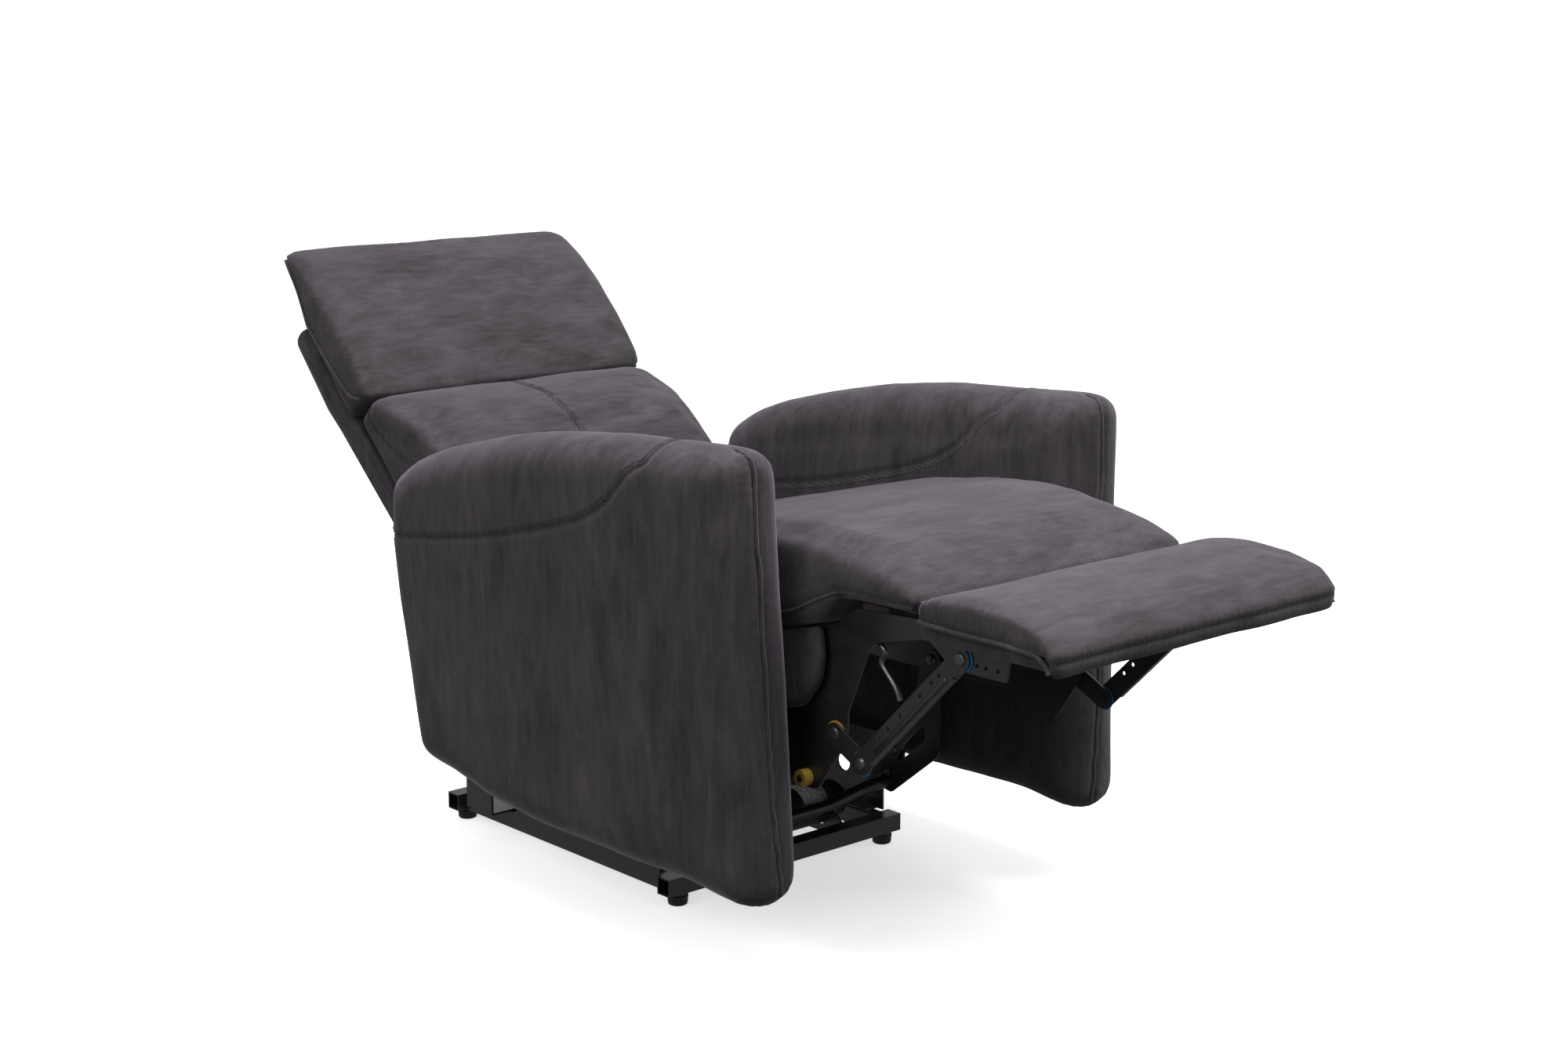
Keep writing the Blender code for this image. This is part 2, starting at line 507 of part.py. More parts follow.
rail_top = DECK_THICK + GAP
for sign in (-1, 1):
    x0, x1 = sorted((sign * 0.178, sign * (SEAT_LANE - GAP)))
    outline = [(DECK_FRONT[0], deck_z(DECK_FRONT[0], rail_top)), (DECK_REAR_Y, deck_z(DECK_REAR_Y, rail_top)),
               (DECK_REAR_Y, deck_z(DECK_REAR_Y, rail_top + SEAT_RAIL_DEPTH)),
               (DECK_FRONT[0], deck_z(DECK_FRONT[0], rail_top + SEAT_RAIL_DEPTH))]
    publish(side("seat_rail", sign), prism_mesh(outline, x0, x1), STEEL)

    # seat plate: both swing pivots, the ottoman pivots, the legrest hinge and the back hinge
    outline = rounded([(CREASE[0] - 0.010, CREASE[1] + HINGE_EDGE, 0.007), (CREASE[0] - 0.010, CREASE[1] - 0.010, 0.009),
                       (-0.500, 0.428, 0.03), (-0.462, 0.340, 0.02), (KNEE_REAR[0] - 0.017, KNEE_REAR[1] - 0.004, 0.014),
                       (ROLLER[0] - 0.018, ROLLER[1] - 0.012, 0.012), (ROLLER[0] + 0.020, ROLLER[1] - 0.014, 0.014),
                       (-0.330, 0.262, 0.03), (FRONT_SEAT[0], FRONT_SEAT[1] - 0.018, 0.02),
                       (REAR_SEAT[0], REAR_SEAT[1] - 0.018, 0.02), (BACK_HINGE[0] + 0.018, BACK_HINGE[1] - 0.020, 0.018),
                       (BACK_HINGE[0] + 0.020, BACK_HINGE[1] + 0.016, 0.018), (DECK_REAR_Y + 0.02, 0.3070, 0.02),
                       (DECK_REAR_Y - 0.03, deck_z(DECK_REAR_Y - 0.03, rail_top + 0.003)),
                       (-0.425, deck_z(-0.425, rail_top + 0.003), 0.01), (-0.475, 0.4655, 0.02)])
    pivots = (CREASE, KNEE_REAR, FRONT_SEAT, REAR_SEAT, BACK_HINGE)
    holes = [circle(p, PIN + PIN_PLAY, 14) for p in pivots]
    holes += [circle(p, 0.0035, 8) for p in ((-0.30, 0.32), (-0.10, 0.295), (-0.02, 0.285), (0.18, 0.285))]
    x0, x1 = lane(sign, SEAT_LANE)
    stub = pin_mesh(ROLLER, PIN, *sorted((sign * (SEAT_LANE + 0.001), sign * 0.2215)))
    combine(side("seat_plate", sign), prism_mesh(outline, x0, x1, holes), [stub], STEEL)

    ring = prism_mesh(circle(ROLLER, 0.0105, 18), *sorted((sign * 0.2070, sign * 0.2200)),
                      [circle(ROLLER, PIN + PIN_PLAY, 16)])
    publish(side("stop_roller", sign), ring, YELLOW, smooth=40)

    # upholstered cheek below the side of the cushion
    corners = [(-0.429, deck_z(-0.429, 0.0) - GAP, 0.006), (-0.434, 0.400, 0.01), (-0.428, 0.368, 0.02),
               (-0.400, 0.332, 0.02), (-0.340, 0.316), (-0.180, 0.292), (0.020, 0.268), (0.135, 0.268, 0.012),
               (0.150, deck_z(0.150, 0.0) - GAP, 0.006)]
    cheek_in = SEAT_LANE + SHEET + 0.003
    cheek_out = ARM_MID_X - ARM_THICK / 2 - CHEEK_GAP
    cheek_half = (cheek_out - cheek_in) / 2
    cheek_x = sign * (cheek_out + cheek_in) / 2
    cheek_round = min(0.006, cheek_half * 0.75)
    pad(side("seat_cheek", sign), corners, cheek_half, cheek_round, cheek_round,
        lambda x, p, m=cheek_x: Vector((m + x, p[0], p[1])), steps=2, rows=2)

front_rail = box_mesh((-0.2030, -0.525, 0.4300), (0.2030, -0.4800, 0.4300 + 0.045))
bmesh.ops.bevel(front_rail, geom=front_rail.edges[:], offset=0.003, segments=2, profile=0.5, affect="EDGES",
                material=-1)
publish("seat_front_rail", front_rail, WOOD)
rear_y = DECK_REAR_Y - 0.030
cross = prism_mesh([(rear_y, deck_z(rear_y, rail_top)), (DECK_REAR_Y, deck_z(DECK_REAR_Y, rail_top)),
                    (DECK_REAR_Y, deck_z(DECK_REAR_Y, rail_top + SEAT_RAIL_DEPTH)),
                    (rear_y, deck_z(rear_y, rail_top + SEAT_RAIL_DEPTH))], -0.178 + GAP, 0.178 - GAP)
publish("seat_rear_rail", cross, STEEL)

# ---- legrest --------------------------------------------------------------------------------
board_top = 0.4740
board_rear = CREASE_Y - 0.007
board_front = -0.8055
notch_in = SEAT_LANE - 0.0025
notch_out = LEG_LANE + SHEET + 0.0025
notch_deep = board_rear - 0.023
half = 0.235
plan = [(-half, board_front), (half, board_front)]
for sign in (1, -1):
    run = [(half, board_rear), (notch_out, board_rear), (notch_out, notch_deep), (notch_in, notch_deep),
           (notch_in, board_rear)]
    run = [(sign * x, y) for x, y in run]
    plan += run if sign > 0 else run[::-1]
board = bmesh.new()
faces = flat_face(board, [Vector(p) for p in plan], [], lambda p: Vector((p[0], p[1], board_top)))
made = bmesh.ops.extrude_face_region(board, geom=faces, use_keep_orig=True)
bmesh.ops.translate(board, verts=[g for g in made["geom"] if isinstance(g, bmesh.types.BMVert)],
                    vec=(0, 0, -BOARD_THICK))
publish("legrest_board", board, VELVET)

corners = [(-0.6065, 0.503, 0.008), (-0.640, 0.5130), (-0.694, 0.5180), (-0.753, 0.5160), (-0.797, 0.5040, 0.012),
           (-0.8220, 0.480, 0.012), (-0.8180, 0.4520, 0.005), (-0.8075, 0.4520, 0.004),
           (-0.8065, board_top + GAP), (-0.6065, board_top + GAP, 0.005)]
pad("legrest_cushion", corners, LEGREST_HALF, 0.020, 0.005, in_side, rows=3)

for sign in (-1, 1):
    under = board_top - BOARD_THICK - GAP
    outline = rounded([(CREASE[0] + 0.0095, CREASE[1] + HINGE_EDGE, 0.007), (CREASE[0] + 0.0095, CREASE[1] - 0.010, 0.008),
                       (-0.6150, 0.440, 0.006), (LINK_TOP[0] + 0.016, 0.426, 0.008), (-0.7185, 0.4265, 0.004),
                       (-0.7235, under, 0.003), (notch_deep + 0.002, under), (notch_deep + 0.002, CREASE[1] + 0.0060, 0.003),
                       (CREASE[0] - 0.008, CREASE[1] + HINGE_EDGE, 0.006)])
    x0, x1 = lane(sign, LEG_LANE)
    holes = [circle(LINK_TOP, PIN + PIN_PLAY, 14)] + [circle((y, 0.4375), 0.003, 10) for y in (-0.673, -0.687, -0.705)]
    bracket = prism_mesh(outline, x0, x1, holes)
    pin = pin_mesh(CREASE, PIN, *sorted((sign * (LEG_LANE + 0.001), sign * (SEAT_LANE - 0.001))))
    f0, f1 = sorted((sign * 0.186, sign * (LEG_LANE + SHEET)))
    flange = box_mesh((f0, -0.715, under - SHEET), (f1, -0.640, under))
    combine(side("legrest_bracket", sign), bracket, [pin, flange], STEEL)

    # long ottoman link: perforated plate with a turned edge, its pins riveted in
    x0, x1 = lane(sign, LINK_LANE, 0.0025)
    top_v, knee_v = Vector(LINK_TOP), Vector(KNEE)
    along = (knee_v - top_v).normalized()
    across = Vector((along.y, -along.x))
    length = (knee_v - top_v).length
    wide = 0.0135
    outline = strap([LINK_TOP, KNEE], wide)
    holes = [circle(top_v + along * d - across * 0.006, 0.0028, 10)
             for d in (0.042, 0.058, 0.084, 0.128, 0.156, 0.176)]
    plate = prism_mesh(outline, x0, x1, holes)
    a, b = top_v + along * 0.020, top_v + along * (length - 0.020)
    edge_in, edge_out = across * (wide - 0.0033), across * (wide - 0.0003)
    turned = prism_mesh([a + edge_out, b + edge_out, b + edge_in, a + edge_in],
                        *sorted((sign * (LINK_LANE + 0.001), sign * 0.2215)))
    leg_pin = sorted((sign * (LINK_LANE + 0.001), sign * (LEG_LANE - 0.001)))
    combine(side("ottoman_link", sign), plate, [turned, pin_mesh(LINK_TOP, PIN, *leg_pin),
                                                pin_mesh(KNEE, PIN, *leg_pin)], STEEL)

    x0, x1 = lane(sign, LEG_LANE)
    link = prism_mesh(strap([KNEE, KNEE_REAR], wide), x0, x1, [circle(KNEE, PIN + PIN_PLAY, 14)])
    pin = pin_mesh(KNEE_REAR, PIN, *sorted((sign * (LEG_LANE + 0.001), sign * (SEAT_LANE - 0.001))))
    combine(side("knee_link", sign), link, [pin], STEEL)

    for label, spot, inner, mat in (("link_washer", LINK_TOP, LEG_LANE, BLUE), ("knee_washer", KNEE, LEG_LANE, BLUE),
                                    ("rear_washer", KNEE_REAR, SEAT_LANE, YELLOW)):
        face = inner + SHEET + 0.0003
        ring = prism_mesh(circle(spot, WASHER_RADIUS, 20), *sorted((sign * face, sign * (face + LANE_GAP - 0.0006))),
                          [circle(spot, PIN + PIN_PLAY, 14)])
        publish(side(label, sign), ring, mat, smooth=40)

# ---- back --------------------------------------------------------------------------------
REAR_FACE = [(0.150, -0.0640), (0.300, -0.0640), (0.420, -0.0640), (0.546, -0.0640)]
shell_front = REAR_FACE[0][1] + SHELL_THICK
SHELL_LOW = REAR_FACE[0][0]
SHELL_TOP = REAR_FACE[-1][0]


def shell_spread(spot, t):
    """Narrow the shell toward the bottom so it clears the arms."""
    rel = (spot.y - BACK_HINGE[0]) * math.cos(TILT) + (spot.z - BACK_HINGE[1]) * math.sin(TILT)
    part = min(1.0, max(0.0, (rel - 0.26) / 0.16))
    return -t * (SHELL_HALF_TOP - SHELL_HALF_LOW) * (1 - part)


corners = [(SHELL_LOW, shell_front, 0.003), (SHELL_LOW, REAR_FACE[0][1], 0.006)]
corners += [(u, v) for u, v in REAR_FACE[1:-1]]
corners += [(SHELL_TOP, REAR_FACE[-1][1], 0.014), (SHELL_TOP, shell_front, 0.014)]
corners += [(0.420, shell_front), (0.300, shell_front)]
shell = pad("back_shell_raw", corners, SHELL_HALF_TOP, 0.008, 0.008, in_back, steps=3, rows=2, spread=shell_spread)
shell_bm = bmesh.new()
shell_bm.from_mesh(shell.data)
bpy.data.objects.remove(shell, do_unlink=True)
floor_v = shell_front - (SHELL_THICK - SHELL_SKIN)
pocket = prism_mesh(back_outline([(SHELL_LOW - 0.02, floor_v), (0.536, floor_v), (0.536, shell_front + 0.02),
                                  (SHELL_LOW - 0.02, shell_front + 0.02)]), -0.206, 0.206)
combine("back_shell", shell_bm, [pocket], VELVET, "DIFFERENCE", smooth=40)

for sign in (-1, 1):
    x0, x1 = sorted((sign * 0.178, sign * (BASE_LANE - GAP)))
    outline = back_outline([(0.160, floor_v + GAP), (0.530, floor_v + GAP), (0.530, shell_front - GAP),
                            (0.160, shell_front - GAP)])
    publish(side("back_upright", sign), prism_mesh(outline, x0, x1), STEEL)
    outline = rounded([(*back_point(-0.017, -0.012), 0.014), (*back_point(0.080, floor_v + 0.0010), 0.03),
                       (*back_point(0.300, floor_v + 0.0010), 0.005), (*back_point(0.300, shell_front - 0.0010), 0.005),
                       (*back_point(0.090, shell_front - 0.0010), 0.02), (*back_point(0.010, 0.016), 0.014),
                       (*back_point(-0.014, 0.014), 0.014)])
    x0, x1 = lane(sign, BASE_LANE)
    pin = pin_mesh(BACK_HINGE, PIN, *sorted((sign * (BASE_LANE + 0.001), sign * (SEAT_LANE + SHEET + 0.002))))
    holes = [circle(back_point(u, (floor_v + shell_front) / 2), 0.003, 8) for u in (0.21, 0.27)]
    combine(side("back_bracket", sign), prism_mesh(outline, x0, x1, holes), [pin], STEEL)

for label, u0, u1 in (("back_low_rail", 0.200, 0.245), ("back_top_rail", 0.480, 0.528)):
    outline = back_outline([(u0, floor_v + GAP), (u1, floor_v + GAP), (u1, shell_front - GAP), (u0, shell_front - GAP)])
    publish(label, prism_mesh(outline, -0.178 + GAP, 0.178 - GAP), WOOD)

rest_v = shell_front + 0.0010
corners = [(0.112, rest_v, 0.010), (0.108, 0.085, 0.030), (0.150, 0.1240, 0.020), (0.1854, 0.1200), (0.2213, 0.1140),
           (0.2534, 0.1065), (0.2923, 0.0925), (0.3266, 0.0730), (0.352, 0.0570, 0.012), (0.3715, 0.036, 0.008),
           (0.3715, rest_v, 0.006)]
pad("lumbar_cushion", corners, seat_half, CUSHION_ROUND, 0.012, in_back, rows=3,
    spread=lambda s, t: t * (lean(s.z) - 0.002 + 0.010 * min(1.0, max(0.0, (s.z - 0.53) / 0.05))))

corners = [(0.3745, rest_v, 0.006), (0.3745, 0.036, 0.008), (0.392, 0.0460, 0.010), (0.4238, 0.0495), (0.472, 0.0505),
           (0.5264, 0.0465), (0.589, 0.0370), (0.632, 0.0250), (0.660, 0.0080, 0.010), (0.648, -0.0060, 0.008),
           (0.597, -0.0100), (0.552, rest_v + 0.006, 0.006), (0.540, rest_v)]
pad("headrest_cushion", corners, HEADREST_HALF, CUSHION_ROUND, 0.012, in_back, rows=3)

# ---- hang each moving piece on an empty that sits on its joint's axis ---------------------------
SIDES = ("_near", "_far")


def both(*names):
    return [n + s for n in names for s in SIDES]


MOVING = {
    "axis_front_swing": (FRONT_BASE, both("front_swing") + ["drive_tube"]),
    "axis_rear_swing": (REAR_BASE, both("rear_swing") + ["rear_tube"]),
    "axis_slider": (REAR_TUBE, ["slider"]),
    "axis_seat": (FRONT_SEAT, both("seat_rail", "seat_plate", "stop_roller", "seat_cheek", "rear_washer")
                  + ["seat_cushion", "seat_deck", "seat_front_rail", "seat_rear_rail"]),
    "axis_crease": (CREASE, both("legrest_bracket", "link_washer") + ["legrest_board", "legrest_cushion"]),
    "axis_link_top": (LINK_TOP, both("ottoman_link", "knee_washer")),
    "axis_knee_rear": (KNEE_REAR, both("knee_link")),
    "axis_back": (BACK_HINGE, both("back_upright", "back_bracket")
                  + ["back_shell", "back_low_rail", "back_top_rail", "lumbar_cushion", "headrest_cushion"]),
}
for label, (spot, names) in MOVING.items():
    axis = bpy.data.objects.new(label, None)
    bpy.context.collection.objects.link(axis)
    axis.parent = root
    axis.location = (0.0, *spot)
    for name in names:
        obj = bpy.data.objects[name]
        obj.data.transform(Matrix.Translation((0.0, -spot[0], -spot[1])))
        obj.parent = axis

# ---- centre the chair over the origin -------------------------------------------------------
bpy.context.view_layer.update()
depth = [(o.matrix_world @ v.co).y for o in bpy.data.objects if o.type == "MESH" for v in o.data.vertices]
root.location.y = -(min(depth) + max(depth)) / 2
bpy.context.view_layer.update()
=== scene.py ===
"""Powered recliner armchair: upholstery, linkage and studio, laid out as a Blender add-on."""
import json
import math

import bmesh
import bpy
import numpy as np
from bpy.props import FloatProperty, FloatVectorProperty, PointerProperty
from mathutils import Matrix, Vector, noise
from mathutils.bvhtree import BVHTree
from mathutils.kdtree import KDTree


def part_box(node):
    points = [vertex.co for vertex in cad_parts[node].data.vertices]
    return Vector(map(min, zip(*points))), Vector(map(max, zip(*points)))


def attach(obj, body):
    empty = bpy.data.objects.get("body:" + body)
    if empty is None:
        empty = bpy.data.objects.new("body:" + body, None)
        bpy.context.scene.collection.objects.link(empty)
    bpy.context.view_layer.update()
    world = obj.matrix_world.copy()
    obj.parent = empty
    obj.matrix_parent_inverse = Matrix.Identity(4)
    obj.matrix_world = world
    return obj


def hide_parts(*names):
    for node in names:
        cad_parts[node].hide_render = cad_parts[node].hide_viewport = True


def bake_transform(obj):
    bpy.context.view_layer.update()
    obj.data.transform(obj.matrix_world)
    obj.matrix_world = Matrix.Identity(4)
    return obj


bl_info = {
    "name": "Recliner Armchair",
    "version": (1, 0, 0),
    "blender": (4, 5, 0),
    "location": "3D Viewport > Sidebar > Recliner",
    "description": "Builds the upholstery, linkage and stage of a powered recliner armchair",
    "category": "Add Mesh",
}

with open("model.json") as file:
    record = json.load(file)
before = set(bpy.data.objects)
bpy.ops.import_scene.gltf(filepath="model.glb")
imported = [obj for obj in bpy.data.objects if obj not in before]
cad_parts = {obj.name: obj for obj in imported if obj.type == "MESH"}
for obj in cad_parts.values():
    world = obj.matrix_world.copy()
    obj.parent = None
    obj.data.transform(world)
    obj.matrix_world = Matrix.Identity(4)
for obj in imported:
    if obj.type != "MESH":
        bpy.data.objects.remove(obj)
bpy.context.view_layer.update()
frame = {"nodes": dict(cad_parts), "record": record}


def middle(node):
    low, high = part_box(node)
    return (low + high) / 2


FRONT_BAR_Y = -0.115                          # front floor bar's middle in the chair's side drawing
SHIFT = middle("front_bar").y - FRONT_BAR_Y   # from that drawing to the row frame, along Y
BACK_HINGE = Vector((0.270 + SHIFT, 0.300))
TILT = math.radians(48.0)
NEAR, FAR = -1, 1


def spot(x, y, z):
    """A point of the side drawing in the row frame."""
    return Vector((x, y + SHIFT, z))


def back_spot(x, u, v):
    """A point drawn in the back's own axes, u up the back and v out of its front."""
    return Vector((x, BACK_HINGE.x + u * math.cos(TILT) - v * math.sin(TILT),
                   BACK_HINGE.y + u * math.sin(TILT) + v * math.cos(TILT)))


def side_name(name, sign):
    return f"{name}_{'near' if sign < 0 else 'far'}"


# ---- shader writing ------------------------------------------------------------------------

class Socket:
    """A shader value that can be used in Python arithmetic."""

    def __init__(self, tree, out):
        self.tree = tree
        self.out = out

    def maths(self, operation, *values):
        return self.tree.add("ShaderNodeMath", {"operation": operation}, *values)

    def __add__(self, other):
        return self.maths("ADD", self, other)

    def __radd__(self, other):
        return self.maths("ADD", other, self)

    def __sub__(self, other):
        return self.maths("SUBTRACT", self, other)

    def __rsub__(self, other):
        return self.maths("SUBTRACT", other, self)

    def __mul__(self, other):
        return self.maths("MULTIPLY", self, other)

    def __rmul__(self, other):
        return self.maths("MULTIPLY", other, self)

    def __gt__(self, other):
        return self.maths("GREATER_THAN", self, other)

    def __lt__(self, other):
        return self.maths("LESS_THAN", self, other)


class Finish:
    """Writes one material's nodes."""

    def __init__(self, name, **constants):
        self.material = bpy.data.materials.new(name)
        self.material.use_nodes = True
        self.nodes = self.material.node_tree.nodes
        self.links = self.material.node_tree.links
        self.shader = self.nodes["Principled BSDF"]
        for key, value in constants.items():
            self.shader.inputs[key.replace("_", " ")].default_value = value

    def add(self, kind, settings=None, *values, take=0, **named):
        node = self.nodes.new(kind)
        for key, value in (settings or {}).items():
            if key == "stops":
                ramp = node.color_ramp.elements
                while len(ramp) < len(value):
                    ramp.new(0.5)
                for element, (place, tone) in zip(ramp, value):
                    element.position = place
                    element.color = (tone, tone, tone, 1.0) if isinstance(tone, float) else (*tone, 1.0)
            else:
                setattr(node, key, value)
        for index, value in list(enumerate(values)) + list(named.items()):
            key = index if isinstance(index, int) else index.replace("_", " ")
            self.feed(node.inputs[key], value)
        return Socket(self, node.outputs[take])

    def feed(self, target, value):
        if isinstance(value, Socket):
            self.links.new(value.out, target)
        else:
            target.default_value = value

    def place(self, scale=(1, 1, 1), turn=(0, 0, 0)):
        """Object coordinates, stretched and turned."""
        where = self.add("ShaderNodeTexCoord", take="Object")
        return self.add("ShaderNodeMapping", {}, Vector=where, Scale=scale, Rotation=turn)

    def noise(self, where, scale, detail=2.0, rough=0.5, distort=0.0):
        return self.add("ShaderNodeTexNoise", {}, Vector=where, Scale=scale, Detail=detail, Roughness=rough,
                        Distortion=distort)

    def ramp(self, value, *stops):
        return self.add("ShaderNodeValToRGB", {"stops": stops}, Fac=value)

    def mix(self, amount, first, second, blend="MIX"):
        node = self.nodes.new("ShaderNodeMix")
        node.data_type = "RGBA"
        node.blend_type = blend
        self.feed(node.inputs["Factor"], amount)
        for target, value in ((node.inputs[6], first), (node.inputs[7], second)):
            self.feed(target, value if isinstance(value, Socket) else (*value, 1.0))
        return Socket(self, node.outputs[2])

    def bump(self, height, distance, strength=1.0, over=None):
        named = {"Height": height, "Distance": distance, "Strength": strength}
        if over:
            named["Normal"] = over
        return self.add("ShaderNodeBump", {}, **named)

    def wear(self, **linked):
        """Link what changes over the surface to the shader."""
        for key, value in linked.items():
            self.feed(self.shader.inputs[key.replace("_", " ")], value)
        return self.material


def velvet(name, tone, streak=(1.0, 1.0, 0.45), turn=(0, 0, 0), depth=1.0):
    """Dense short-pile velvet: brushed patches of nap, soft sheen and fine pile."""
    cloth = Finish(name, Roughness=0.82, Sheen_Weight=0.26, Sheen_Roughness=0.38,
                   Sheen_Tint=(0.80, 0.72, 0.82, 1.0), Specular_IOR_Level=0.16)
    along = cloth.place(streak, turn)
    still = cloth.place()
    patches = cloth.ramp(cloth.noise(along, 9.0, 5.0, 0.62, 1.0), (0.34, 0.0), (0.66, 1.0))
    brushed = cloth.ramp(cloth.noise(along, 34.0, 4.0, 0.62, 0.9), (0.34, 0.0), (0.68, 1.0))
    hairs = cloth.place([c * c for c in streak], turn)
    fine = cloth.ramp(cloth.noise(hairs, 150.0, 3.0, 0.65, 0.4), (0.32, 0.0), (0.70, 1.0))
    pile = cloth.noise(still, 1100.0, 2.0, 0.6)
    lay = patches * 0.38 + brushed * 0.34 + fine * 0.28
    dark = [c * (1 - 0.62 * depth) for c in tone]
    light = [c * (1 + 0.85 * depth) for c in tone]
    colour = cloth.mix(lay, dark, light)
    colour = cloth.mix(pile * 0.30, colour, [c * 0.45 for c in tone])
    rough = 0.92 - lay * 0.24
    soft = cloth.bump(cloth.noise(still, 34.0, 3.0, 0.55), 0.0011, 0.35)
    return cloth.wear(Base_Color=colour, Roughness=rough, Normal=cloth.bump(pile, 0.0004, 0.45, soft))


def coated_steel(name, tone, gloss=0.34):
    """Black-coated steel plate: faint orange peel, dust and rubbed edges."""
    steel = Finish(name, Metallic=0.25, Specular_IOR_Level=0.6, Coat_Weight=0.5, Coat_Roughness=0.16)
    where = steel.place()
    peel = steel.noise(where, 420.0, 2.0, 0.5)
    dust = steel.ramp(steel.noise(where, 16.0, 5.0, 0.62, 0.3), (0.42, 0.0), (0.80, 1.0))
    scuffs = steel.ramp(steel.noise(steel.place((1, 1, 5)), 60.0, 4.0, 0.7, 0.5), (0.63, 0.0), (0.72, 1.0))
    round_edge = steel.add("ShaderNodeBevel", {"samples": 4}, 0.0009)
    colour = steel.mix(dust * 0.35, tone, [c * 2.3 + 0.006 for c in tone])
    colour = steel.mix(scuffs * 0.20, colour, (0.10, 0.10, 0.105))
    rough = gloss + dust * 0.16 + scuffs * 0.10
    return steel.wear(Base_Color=colour, Roughness=rough, Normal=steel.bump(peel, 0.00012, 0.30, round_edge))


def moulded(name, tone, rough=0.42, grain=300.0):
    """Moulded plastic with a fine grain and slight mottling."""
    plastic = Finish(name, Specular_IOR_Level=0.5)
    where = plastic.place()
    skin = plastic.noise(where, grain, 2.0, 0.55)
    cloud = plastic.noise(where, 30.0, 3.0, 0.5)
    colour = plastic.mix(cloud * 0.35, tone, [c * 0.62 for c in tone])
    return plastic.wear(Base_Color=colour, Roughness=rough + cloud * 0.14 - 0.05,
                        Normal=plastic.bump(skin, 0.00015, 0.35))


def bright_rivet(name):
    """Oiled dark rivet metal that catches the light."""
    metal = Finish(name, Metallic=0.9)
    where = metal.place()
    grime = metal.noise(where, 240.0, 4.0, 0.6)
    colour = metal.mix(grime, (0.20, 0.20, 0.21), (0.05, 0.05, 0.052))
    return metal.wear(Base_Color=colour, Roughness=0.24 + grime * 0.2, Normal=metal.bump(grime, 0.0001, 0.3))


def plywood(name, tone):
    """Dark-stained plywood with grain along X."""
    ply = Finish(name, Specular_IOR_Level=0.3)
    grain = ply.noise(ply.place((0.12, 1, 1)), 160.0, 5.0, 0.6, 0.6)
    colour = ply.mix(grain, [c * 0.55 for c in tone], tone)
    return ply.wear(Base_Color=colour, Roughness=0.62 + grain * 0.2, Normal=ply.bump(grain, 0.0003, 0.4))


def printed_label(name):
    """Pale label with rows of grey bars, no lettering."""
    paper = Finish(name, Specular_IOR_Level=0.45)
    uv = paper.add("ShaderNodeUVMap", {"uv_map": "label"})
    across = paper.add("ShaderNodeSeparateXYZ", {}, uv)
    along = paper.add("ShaderNodeSeparateXYZ", {}, uv, take="Y")
    rows = along * 9.0
    row = paper.add("ShaderNodeMath", {"operation": "FRACT"}, rows)
    count = paper.add("ShaderNodeMath", {"operation": "FLOOR"}, rows)
    words = paper.noise(paper.add("ShaderNodeCombineXYZ", {}, across * 26.0, count * 7.3, 0.0), 1.0, 0.0)
    ink = (row > 0.38) * (row < 0.72) * (words > 0.43)
    edge = (across > 0.07) * (across < 0.93) * (along > 0.06) * (along < 0.94)
    colour = paper.mix(ink * edge, (0.82, 0.82, 0.80), (0.20, 0.20, 0.21))
    return paper.wear(Base_Color=colour, Roughness=0.42 + words * 0.08)


# ---- making pieces ---------------------------------------------------------------------------

def show(name, bm, material, body, smooth=35.0):
    """Put a finished bmesh in the scene as a piece that rides on a body."""
    mesh = bpy.data.meshes.new(name)
    bm.to_mesh(mesh)
    bm.free()
    piece = bpy.data.objects.new(name, mesh)
    bpy.context.collection.objects.link(piece)
    mesh.materials.append(material)
    mesh.polygons.foreach_set("use_smooth", [True] * len(mesh.polygons))
    if smooth:
        mesh.set_sharp_from_angle(angle=math.radians(smooth))
    if body:
        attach(piece, body)
    return piece


def cad_mesh(node):
    """A merged working copy of a CAD node's surface."""
    bm = bmesh.new()
    bm.from_mesh(frame["nodes"][node].data)
    bmesh.ops.remove_doubles(bm, verts=bm.verts, dist=1e-5)
    bmesh.ops.recalc_face_normals(bm, faces=bm.faces)
    return bm


def settled(piece):
    """The piece's mesh with its modifiers applied."""
    graph = bpy.context.evaluated_depsgraph_get()
    fresh = bpy.data.meshes.new_from_object(piece.evaluated_get(graph))
    piece.modifiers.clear()
    old = piece.data
    piece.data = fresh
    bpy.data.meshes.remove(old)


def points_of(mesh):
    co = np.empty(len(mesh.vertices) * 3)
    mesh.vertices.foreach_get("co", co)
    return co.reshape(-1, 3)


def smoothed(bm, rounds):
    for _ in range(rounds):
        bmesh.ops.smooth_vert(bm, verts=bm.verts, factor=0.5,
                              use_axis_x=True, use_axis_y=True, use_axis_z=True)


FILL_FRAMES = 20       # cloth steps that fill a cushion
STIFFNESS = 12.0       # of its cover against stretch
SLIDE = 0.35           # share kept of a point's movement along the surface
SINK = 0.0012          # most that a point may go inwards
SIDE_PLANE = 0.205     # past this |X| a cushion doesn't grow towards its neighbour
SKIN_PULL = 0.6        # share of the way that smoothed points go back to the CAD surface
SKIN_REACH = 0.02      # points further than this from that surface stay where they are


